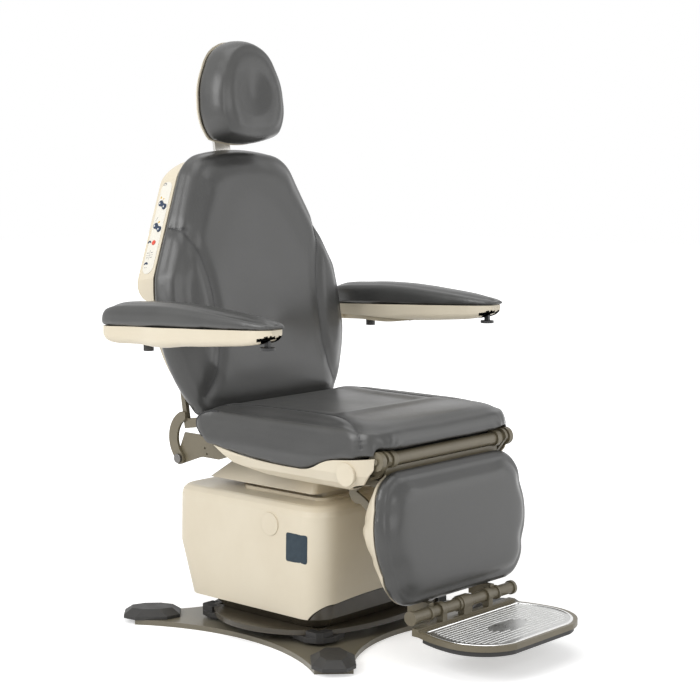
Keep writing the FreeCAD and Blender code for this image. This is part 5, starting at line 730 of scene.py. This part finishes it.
def seat_shape(points, normals):
    """Top panel a little lower than its bolsters, a crest before the front roll, a dimple in the roll."""
    x, y, z = points.T
    inside = fade(panel_half(SEAT_PANEL, y) - np.abs(x), -0.004, 0.055)
    top = fade(z, 0.500, 0.530)
    move = np.zeros_like(points)
    dip = 0.0065 * inside * fade(y, -0.225, -0.150) * fade(-y, -0.170, -0.090)
    crest = 0.0058 * np.exp(-((y + 0.207) / 0.020) ** 2) * inside
    outer = 0.0025 * (1 - inside) * fade(y, -0.33, -0.25)
    move[:, 2] += top * (crest + outer - dip)
    front = fade(-y, 0.330, 0.372) * fade(0.215 - np.abs(x), 0.0, 0.06)
    move[:, 1] += 0.0055 * front * np.exp(-((z - 0.484) / 0.011) ** 2)
    for side in (-1, 1):
        beside, above = x - side * WRINKLE_SIDE, z - WRINKLE_HIGH
        reach = np.hypot(beside, above) / 0.05
        ripple = np.cos(np.arctan2(above, beside) * 11) * np.exp(-reach ** 2) * fade(-y, 0.33, 0.37)
        move[:, 1] += 0.0022 * ripple
    return move


seat = cover("seat_cushion", "seat", 0.0056, seat_shape, seat_free, 0.007, (0, 0, 1))
seat_tree = surface_tree(seat.data)
seat_seams = []
for side in (-1, 1):
    across = follow([(side * half, y, 545) for half, y in SEAT_PANEL], 10) * MM
    down = np.array([(side * 254, -338, z) for z in (520, 505, 492, 478)]) * MM
    found = lay(seat_tree, across, (0, 0, -1), 0.1) + lay(seat_tree, down, (-side * 0.45, 0.9, 0), 0.12)
    seat_seams.append(places(found))
sink(seat, seat_seams, (0.0036, 0.016))
seat_tree = surface_tree(seat.data)
sew_seams("seat_sewing", "seat", seat_tree, [
    nearest(seat_tree, follow(line[::3], 5)) for line in seat_seams])
piping = []
for side in (-1, 1):
    edge = follow([(side * 262, y, z) for y, z in (
        (112, 537), (150, 524), (178, 506), (190, 492), (172, 475), (156, 462))], 8) * MM
    piping.append(places(nearest(seat_tree, edge)))
sew("seat_piping", "seat", piping, [], 0.0021)

# Back cushion

BACK = Matrix.Translation((0, 239 * MM, 520 * MM)) @ Matrix.Rotation(math.radians(-9.5), 4, "X")
BACK_IN = np.array(BACK.inverted())
# Half the width of the middle panel from top to bottom, and the short seams outward from its top
BACK_PANEL = ((236, 430), (226, 412), (212, 380), (198, 340), (187, 300), (180, 255), (178, 215),
              (178, 170), (180, 125), (188, 92), (199, 62), (214, 38), (226, 20))
BACK_SHOULDER = ((236, 430), (246, 436), (254, 440), (261, 443))


def back_free(points):
    local = into(points, BACK_IN)
    free = fade(-local[:, 1], 0.014, 0.040)
    return free * fade(local[:, 2], 0.010, 0.085)


def back_shape(points, normals):
    """Soft lumbar swell in the panel and fuller bolsters beside it."""
    x, w, v = into(points, BACK_IN).T
    half = panel_half(BACK_PANEL, v)
    beside = 1 - fade(half - np.abs(x), -0.006, 0.060) * fade(v, 0.02, 0.09) * fade(-v, -0.60, -0.50)
    front = fade(-w, 0.052, 0.078)
    lumbar = 0.010 * np.exp(-((v - 0.185) / 0.062) ** 2) * np.exp(-(x / 0.085) ** 2)
    bolster = 0.0038 * beside * np.exp(-((np.abs(x) - half - 0.030) / 0.028) ** 2) * fade(v, 0.03, 0.12)
    out = front * (lumbar + bolster * fade(-v, -0.44, -0.34))
    local = np.zeros_like(points)
    local[:, 1] = -out
    return out_of(local, BACK)


back = cover("back_cushion", "back", 0.0056, back_shape, back_free, 0.0085, (0, -0.986, 0.165))
back_tree = surface_tree(back.data)
AHEAD = BACK.to_3x3() @ Vector((0, 1, 0))


def back_seam(side, table, steps):
    """A line of one side of the back, dropped on its cover from the front."""
    spots = [tuple(BACK @ Vector((side * half * MM, -0.1, along * MM))) for half, along in table]
    return places(lay(back_tree, follow(spots, steps), AHEAD, 0.1))


panel_seams = [back_seam(side, BACK_PANEL, 10) for side in (-1, 1)]
shoulder_seams = [back_seam(side, BACK_SHOULDER, 8) for side in (-1, 1)]
sink(back, panel_seams, (0.0048, 0.017))
for line in shoulder_seams:
    press(back, line, 0.0016, 0.0036)
back_tree = surface_tree(back.data)
sew_seams("back_sewing", "back", back_tree, [
    lay(back_tree, follow(line[::3], 5), AHEAD, 0.06) for line in panel_seams + shoulder_seams])

# Headrest cushion

HEAD = Matrix.Translation((0, 301 * MM, 1145 * MM)) @ Matrix.Rotation(math.radians(-6), 4, "X")
HEAD_IN = np.array(HEAD.inverted())
# Middle of the dish, along the headrest
DISH_AT = 0.118


def head_free(points):
    local = into(points, HEAD_IN)
    dish = np.exp(-((local[:, 0] / 0.06) ** 2 + ((local[:, 2] - DISH_AT) / 0.08) ** 2))
    return fade(-local[:, 1], 0.012, 0.040) * (1 - 0.85 * dish)


def head_shape(points, normals):
    """An oval dish, taller than wide, inside a rounded rim."""
    x, w, v = into(points, HEAD_IN).T
    away = np.sqrt((x / 0.052) ** 2 + ((v - DISH_AT) / 0.078) ** 2)
    front = fade(-w, 0.05, 0.07)
    local = np.zeros_like(points)
    local[:, 1] = front * (0.0095 * np.exp(-away ** 2) - 0.0035 * np.exp(-((away - 1.55) / 0.42) ** 2))
    return out_of(local, HEAD)


cover("headrest_cushion", "headrest", 0.0046, head_shape, head_free, 0.0055, (0, -0.995, 0.1), stiff=14.0)

# Leg rest cushion

LEG_LEAN = math.tan(math.radians(6))


def leg_plane(points):
    """How far points stand in front of the swivel axis, with the leg rest's lean taken out."""
    return (points[:, 2] - 0.436) * LEG_LEAN - points[:, 1]


def leg_free(points):
    return fade(leg_plane(points), 0.374, 0.398)


def leg_shape(points, normals):
    """A hardly crowned front that pulls in a little at its corners."""
    x, y, z = points.T
    front = fade(leg_plane(points), 0.390, 0.408)
    across, along = x / 0.26, (z - 0.278) / 0.16
    corner = np.exp(-((np.abs(across) - 0.86) ** 2 + (np.abs(along) - 0.84) ** 2) / 0.03)
    pull = np.sin(np.arctan2(along, across) * 30) * 0.0006
    move = np.zeros_like(points)
    move[:, 1] = front * (corner * (0.0016 + pull) - 0.0016 * np.cos(across * 1.5) * np.cos(along * 1.5))
    return move


cover("leg_cushion", "leg_rest", 0.0052, leg_shape, leg_free, 0.006, (0, -0.995, 0.1))

# Armrest pads

PAD_SIDE = 0.388
# Underside of the pads: its height at the rear end, its rise to the tip, the rear end and the length
PAD_LOW, PAD_RISE, PAD_REAR, PAD_LENGTH = 0.727, 0.026, 0.326, 0.564


def arm_free(points):
    line = PAD_LOW + PAD_RISE * (PAD_REAR - points[:, 1]) / PAD_LENGTH
    return fade(points[:, 2] - line, 0.004, 0.022) * (1 - 0.6 * fade(-points[:, 1], 0.20, 0.235))


def arm_shape(points, normals):
    """A shallow trough for the forearm and a pucker at the tip, the same way round on both sides."""
    x, y, z = points.T
    across = (x - math.copysign(PAD_SIDE, x[0])) / 0.045
    trough = np.exp(-(across / 0.5) ** 2) * fade(y, -0.15, -0.05) * fade(-y, -0.28, -0.2)
    fold = np.sin(across * 11) * np.exp(-((y + 0.218) / 0.020) ** 2)
    top = fade(normals[:, 2], 0.6, 0.95)
    move = np.zeros_like(points)
    move[:, 2] -= 0.0014 * top * trough
    move[:, 2] += 0.0016 * top * fold
    return move


SIDES = ((1, "left"), (-1, "right"))
for _, name in SIDES:
    cover("arm_pad_" + name, "arm_" + name, 0.0042, arm_shape, arm_free, 0.003, (0, 0, 1), stiff=14.0)

# Keypads: plain marks on the films and arrows on the rocker keys, with no lettering

# The slanted flank of the back shell that carries the keypad on the sitter's left
FLANK_LOW = Vector((287.28, 0, 315.81)) * MM
FLANK_TURN = math.radians(-25.68)
FLANK = BACK @ Matrix.Translation(FLANK_LOW) @ Matrix.Rotation(FLANK_TURN, 4, "Y")
MIRROR = Matrix.Diagonal((-1, 1, 1, 1))
# Distance of a key's two arrows from its middle, and the slant of the line between them
ARROW_REACH = 10.2
ARROW_TURN = math.radians(35)
# Heights over the flank of the film and of the keys, and the thickness of a printed mark
FILM_FACE, KEY_FACE, PRINT = 0.8, 2.0, 0.12


def turned(y, z, corners, turn):
    """Corners of a mark, turned about its middle and set at y and z."""
    return [(y + a * math.cos(turn) - b * math.sin(turn), z + a * math.sin(turn) + b * math.cos(turn))
            for a, b in corners]


def oval(y, z, wide, tall, turn=0.0, count=14):
    angles = [math.tau * step / count for step in range(count)]
    return turned(y, z, [(wide * math.cos(angle), tall * math.sin(angle)) for angle in angles], turn)


def bar(y, z, length, width, turn=0.0):
    shares = ((-0.5, -0.5), (0.5, -0.5), (0.5, 0.5), (-0.5, 0.5))
    return turned(y, z, [(a * length, b * width) for a, b in shares], turn)


def half_ring(y, z, radius, width, count=12):
    angles = np.linspace(0.15, math.pi - 0.15, count)
    outer = [(y + radius * math.cos(a), z + radius * math.sin(a)) for a in angles]
    radius -= width
    inner = [(y + radius * math.cos(a), z + radius * math.sin(a) * 0.8) for a in angles[::-1]]
    return outer + inner


def prints(name, outlines, face, finish, body, place):
    """Thin printed marks of one colour as one piece; outlines and face are in mm."""
    made = [plate([(a * MM, b * MM) for a, b in outline], face * MM, (face + PRINT) * MM, place)
            for outline in outlines]
    merge(name, made, finish, body)


for side, name in SIDES:
    place = FLANK if side > 0 else MIRROR @ FLANK
    grey = [bar(33.5, 63.5, 26, 0.7), bar(33.5, 63.5, 0.7, 26)]
    grey += [bar(y, z, 6.5, 1.6) for y in (26.5, 40.5) for z in (57.5, 70.0)]
    grey += [bar(y, 31.5, 3.6, 1.5) for y in (35.0, 41.0)]
    grey += [half_ring(36.2, 250.5, 6.2, 1.3), bar(36.2, 250.5, 12.5, 1.2), bar(37, 160, 1.2, 11, 0.5)]
    prints("keypad_grey_" + name, grey, FILM_FACE, GREY_PRINT, "back", place)
    yellow = [oval(39.5, 217.5, 2.4, 3.6, -0.5), oval(29.0, 212.5, 2.2, 2.0), bar(26.0, 150.0, 5.0, 5.0, 0.6)]
    prints("keypad_yellow_" + name, yellow, FILM_FACE, YELLOW_PRINT, "back", place)
    navy = [half_ring(44.3, 96.0, 7.2, 4.2), half_ring(39.0, 38.5, 7.6, 4.8)]
    prints("keypad_navy_" + name, navy, FILM_FACE, NAVY, "back", place)
    for body, middle in (("back_key_" + name, 196), ("lift_key_" + name, 136)):
        arrows = []
        for end in (-1, 1):
            y = 31 + end * ARROW_REACH * math.cos(ARROW_TURN)
            z = middle + end * ARROW_REACH * math.sin(ARROW_TURN)
            arrows.append([(y - 2.9, z - end * 2.4), (y + 2.9, z - end * 2.4), (y, z + end * 3.6)])
        prints("arrows_" + body, arrows, KEY_FACE, WHITE_PRINT, body, place)

# Bare dark plate on each side of the base cover, and a thin black sheet in the outline of the lever's slot in
# each armrest shell, as painted shade for the slot's hollow


# Each ring's share of the plate's size, and its rise over the surface
PLATE_RINGS = ((1, -0.0006), (1, 0.0007), (0.97, 0.0011), (0.75, 0.0011), (0.5, 0.0011), (0.25, 0.0011))


def inset(tree, middle, aim, half, corner):
    """A shallow rounded plate that follows a surface met along X; half is its size along Y and Z."""
    edge = []
    for quarter in range(4):
        for step in range(9):
            angle = math.pi / 2 * (quarter + step / 8)
            a = math.copysign(half[0] - corner, math.cos(angle + 1e-6)) + corner * math.cos(angle)
            b = math.copysign(half[1] - corner, math.sin(angle + 1e-6)) + corner * math.sin(angle)
            edge.append((a, b))
    work = bmesh.new()
    rings = []
    for share, rise in PLATE_RINGS:
        ring = []
        for a, b in edge:
            spot = Vector((middle[0], middle[1] + a * share, middle[2] + b * share))
            hit, facing, _, _ = tree.ray_cast(spot, Vector((aim, 0, 0)))
            ring.append(work.verts.new(hit + facing * rise))
        rings.append(ring)
    count = len(edge)
    for lower, upper in zip(rings, rings[1:]):
        for index in range(count):
            after = (index + 1) % count
            work.faces.new((lower[index], lower[after], upper[after], upper[index]))
    work.faces.new(rings[-1])
    work.faces.new(rings[0][::-1])
    bmesh.ops.recalc_face_normals(work, faces=work.faces)
    return mesh_of("inset", work)


def patch(tree, middle, aim, inside, reach, thick):
    """A thin piece on the part of a surface whose cells pass a test, met along a level direction."""
    aim = Vector(aim).normalized()
    along = aim.cross(Vector((0, 0, 1)))
    work = bmesh.new()
    spots = {}

    def corner(u, v):
        if (u, v) not in spots:
            start = Vector(middle) + (along * u + Vector((0, 0, v))) * MM - aim * 0.06
            hit, facing, _, _ = tree.ray_cast(start, aim)
            spots[(u, v)] = hit and work.verts.new(hit + facing * 0.0003)
        return spots[(u, v)]

    for u in range(-reach, reach):
        for v in range(-reach, reach):
            if inside(u + 0.5, v + 0.5):
                square = [corner(u, v), corner(u + 1, v), corner(u + 1, v + 1), corner(u, v + 1)]
                if all(square):
                    work.faces.new(square)
    bmesh.ops.solidify(work, geom=work.faces[:], thickness=thick)
    bmesh.ops.recalc_face_normals(work, faces=work.faces)
    return mesh_of("patch", work)


def lever_slot(turn):
    """A test for the cells, in mm, of a slot like a T with a toothed bar, tilted up towards the tip."""
    def inside(u, v):
        u *= turn
        v -= 0.16 * u
        crossbar = abs(u) < 20 and abs(v) < 3.6
        stem = -11 < u < 10 and -15 < v < 0
        teeth = 0 < v < 6.5 and (abs(u) < 4 or 8 < u < 12)
        return crossbar or stem or teeth
    return inside


# Black sheets laid on the shell where the slot's hollow is: painted shade, not a real opening
for side, name in SIDES:
    arm_tree = surface_tree(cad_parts["arm_shell_" + name].data)
    slots = [patch(arm_tree, (side * (PAD_SIDE + out * 0.024), -0.209, 0.7325), (-side * out * 0.66, 0.75, 0),
                   lever_slot(-side * out), 22, -0.0009) for out in (1, -1)]
    merge("lever_slot_shade_" + name, slots, FINISHES["black_plastic"], "arm_" + name)

cover_tree = surface_tree(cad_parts["base_cover"].data)
plates = [inset(cover_tree, (side * 0.4, -0.115, 0.2285), -side, (0.032, 0.0335), 0.006) for side in (-1, 1)]
merge("cover_plates", plates, SLATE, "turntable")

# Polished bevel round the tread

BEVEL_STEPS = 180
TREAD_MIDDLE = Vector((0, -0.55, 0.0828))
# Each ring's distance inward from the tread's edge, and its height
BEVEL_RINGS = ((0.0003, 0.0836), (0.0003, 0.0842), (0.0016, 0.0851), (0.0062, 0.0853), (0.0068, 0.0836))
tread_tree = surface_tree(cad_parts["foot_tread"].data)
outline = []
for step in range(BEVEL_STEPS):
    angle = math.tau * step / BEVEL_STEPS
    way = Vector((math.cos(angle), math.sin(angle), 0))
    hit = tread_tree.ray_cast(TREAD_MIDDLE + way * 0.5, -way)[0]
    outline.append((hit.x, hit.y))
outline = np.array(outline)
ahead = np.roll(outline, -1, 0) - np.roll(outline, 1, 0)
inward = np.column_stack([-ahead[:, 1], ahead[:, 0]]) / np.linalg.norm(ahead, axis=1)[:, None]
work = bmesh.new()
bands = []
for draw, height in BEVEL_RINGS:
    bands.append([work.verts.new((a, b, height)) for a, b in outline + inward * draw])
for lower, upper in zip(bands, bands[1:] + bands[:1]):
    for index in range(BEVEL_STEPS):
        work.faces.new((lower[index], lower[index - 1], upper[index - 1], upper[index]))
bmesh.ops.recalc_face_normals(work, faces=work.faces)
POLISHED = metal("polished_edge", (0.86, 0.86, 0.85), (0.78, 0.78, 0.77), 0.18, (1, 6, 6))
add_piece("tread_bevel", mesh_of("tread_bevel", work), POLISHED, "footplate")

# Screws

REAR = (0, -1, 0)
fasten("cover_screws", "turntable", "base_cover", [(x, 400, z) for x in (-170, 170) for z in (110, 275)],
       REAR, 0.0038)
fasten("inlet_screws", "turntable", "power_inlet", [(x, 400, 236) for x in (-19, 19)], REAR, 0.0022)
fasten("back_screws", "back", "back_shell",
       [(x, 600, z) for half, z in ((150, 620), (190, 760), (120, 1020)) for x in (-half, half)],
       (0, -1, 0.17), 0.0036)
fasten("headrest_screws", "headrest", "headrest_bracket",
       [(x, 600, z) for x in (-16, 16) for z in (1248, 1270)], REAR, 0.0028)
fasten("leg_screws", "leg_rest", "leg_shell", [(x, 0, z) for x in (-130, 130) for z in (190, 300)],
       REAR, 0.0034)
for side, name in SIDES:
    fasten("arm_screws_" + name, "arm_" + name, "arm_shell_" + name,
           [(side * 388, y, 600) for y in (-120, 60)], (0, 0, 1), 0.003)

# Floor, light and camera

FLOOR_HALF = 14.0
# The floor's own glow for the camera rises with the distance from the chair
GLOW_NEAR, GLOW_FAR = (0.9, 0.46), (2.6, 1.0)
WORLD_LIGHT = 0.45


def seen_directly(tree):
    """1 for what the camera sees, itself or by a mirror or glass, and 0 for light on the chair."""
    path = tree.nodes.new("ShaderNodeLightPath")
    value = path.outputs["Is Camera Ray"]
    for name in ("Is Glossy Ray", "Is Transmission Ray"):
        larger = tree.nodes.new("ShaderNodeMath")
        larger.operation = "MAXIMUM"
        tree.links.new(value, larger.inputs[0])
        tree.links.new(path.outputs[name], larger.inputs[1])
        value = larger.outputs[0]
    return value


corners = [(x * FLOOR_HALF, y * FLOOR_HALF, 0) for x, y in ((-1, -1), (1, -1), (1, 1), (-1, 1))]
floor_mesh = bpy.data.meshes.new("floor")
floor_mesh.from_pydata(corners, [], [(0, 1, 2, 3)])
ground = Finish("studio_floor", 0.9)
ground.shader.inputs["Specular IOR Level"].default_value = 0.0
ground.wear(ground.clouded(ground.noise(0.6), 0.3, 0.7, (0.88, 0.88, 0.88), (0.9, 0.9, 0.9)))
far = ground.nodes.new("ShaderNodeVectorMath")
far.operation = "LENGTH"
ground.links.new(ground.place, far.inputs[0])
rise = ground.span(far.outputs["Value"], GLOW_NEAR[0], GLOW_FAR[0], GLOW_NEAR[1], GLOW_FAR[1])
glow = ground.nodes.new("ShaderNodeEmission")
seen = seen_directly(ground.material.node_tree)
ground.links.new(ground.sum(seen, rise, "MULTIPLY"), glow.inputs["Strength"])
both = ground.nodes.new("ShaderNodeAddShader")
ground.links.new(ground.shader.outputs[0], both.inputs[0])
ground.links.new(glow.outputs[0], both.inputs[1])
ground.links.new(both.outputs[0], ground.nodes["Material Output"].inputs["Surface"])
floor = add_piece("floor", floor_mesh, ground.material)

world = bpy.data.worlds.new("studio")
scene.world = world
world.use_nodes = True
sky = world.node_tree
sky.nodes.clear()
choose = sky.nodes.new("ShaderNodeMixShader")
sky.links.new(seen_directly(sky), choose.inputs[0])
for socket, strength in ((1, WORLD_LIGHT), (2, 1.0)):
    white = sky.nodes.new("ShaderNodeBackground")
    white.inputs["Color"].default_value = (1, 1, 1, 1)
    white.inputs["Strength"].default_value = strength
    sky.links.new(white.outputs[0], choose.inputs[socket])
out = sky.nodes.new("ShaderNodeOutputWorld")
sky.links.new(choose.outputs[0], out.inputs["Surface"])


def lamp(name, place, aim, wide, tall, power):
    data = bpy.data.lights.new(name, "AREA")
    data.shape = "RECTANGLE"
    data.size = wide
    data.size_y = tall
    data.energy = power
    light = bpy.data.objects.new(name, data)
    light.location = place
    light.rotation_euler = (Vector(aim) - Vector(place)).to_track_quat("-Z", "Y").to_euler()
    scene.collection.objects.link(light)


lamp("key", (-3.3, 0.7, 2.6), (0, 0, 0.7), 2.2, 2.2, 76)
lamp("above", (-0.2, -0.2, 4.0), (0, 0, 0.5), 3.0, 3.0, 44)
lamp("front", (-1.6, -4.2, 2.2), (0, 0, 0.9), 2.6, 2.0, 36)
lamp("mirror", (2.9, -3.1, 1.5), (0, 0, 0.8), 1.8, 2.4, 20)

camera = bpy.data.objects.new("camera", bpy.data.cameras.new("camera"))
camera.location = (-3.0318, -2.8058, 1.150)
camera.rotation_euler = (math.radians(83.196), 0, math.radians(-48.042))
camera.data.sensor_width = 36
camera.data.lens = 89.15
scene.collection.objects.link(camera)
scene.camera = camera
scene.view_settings.view_transform = "Standard"
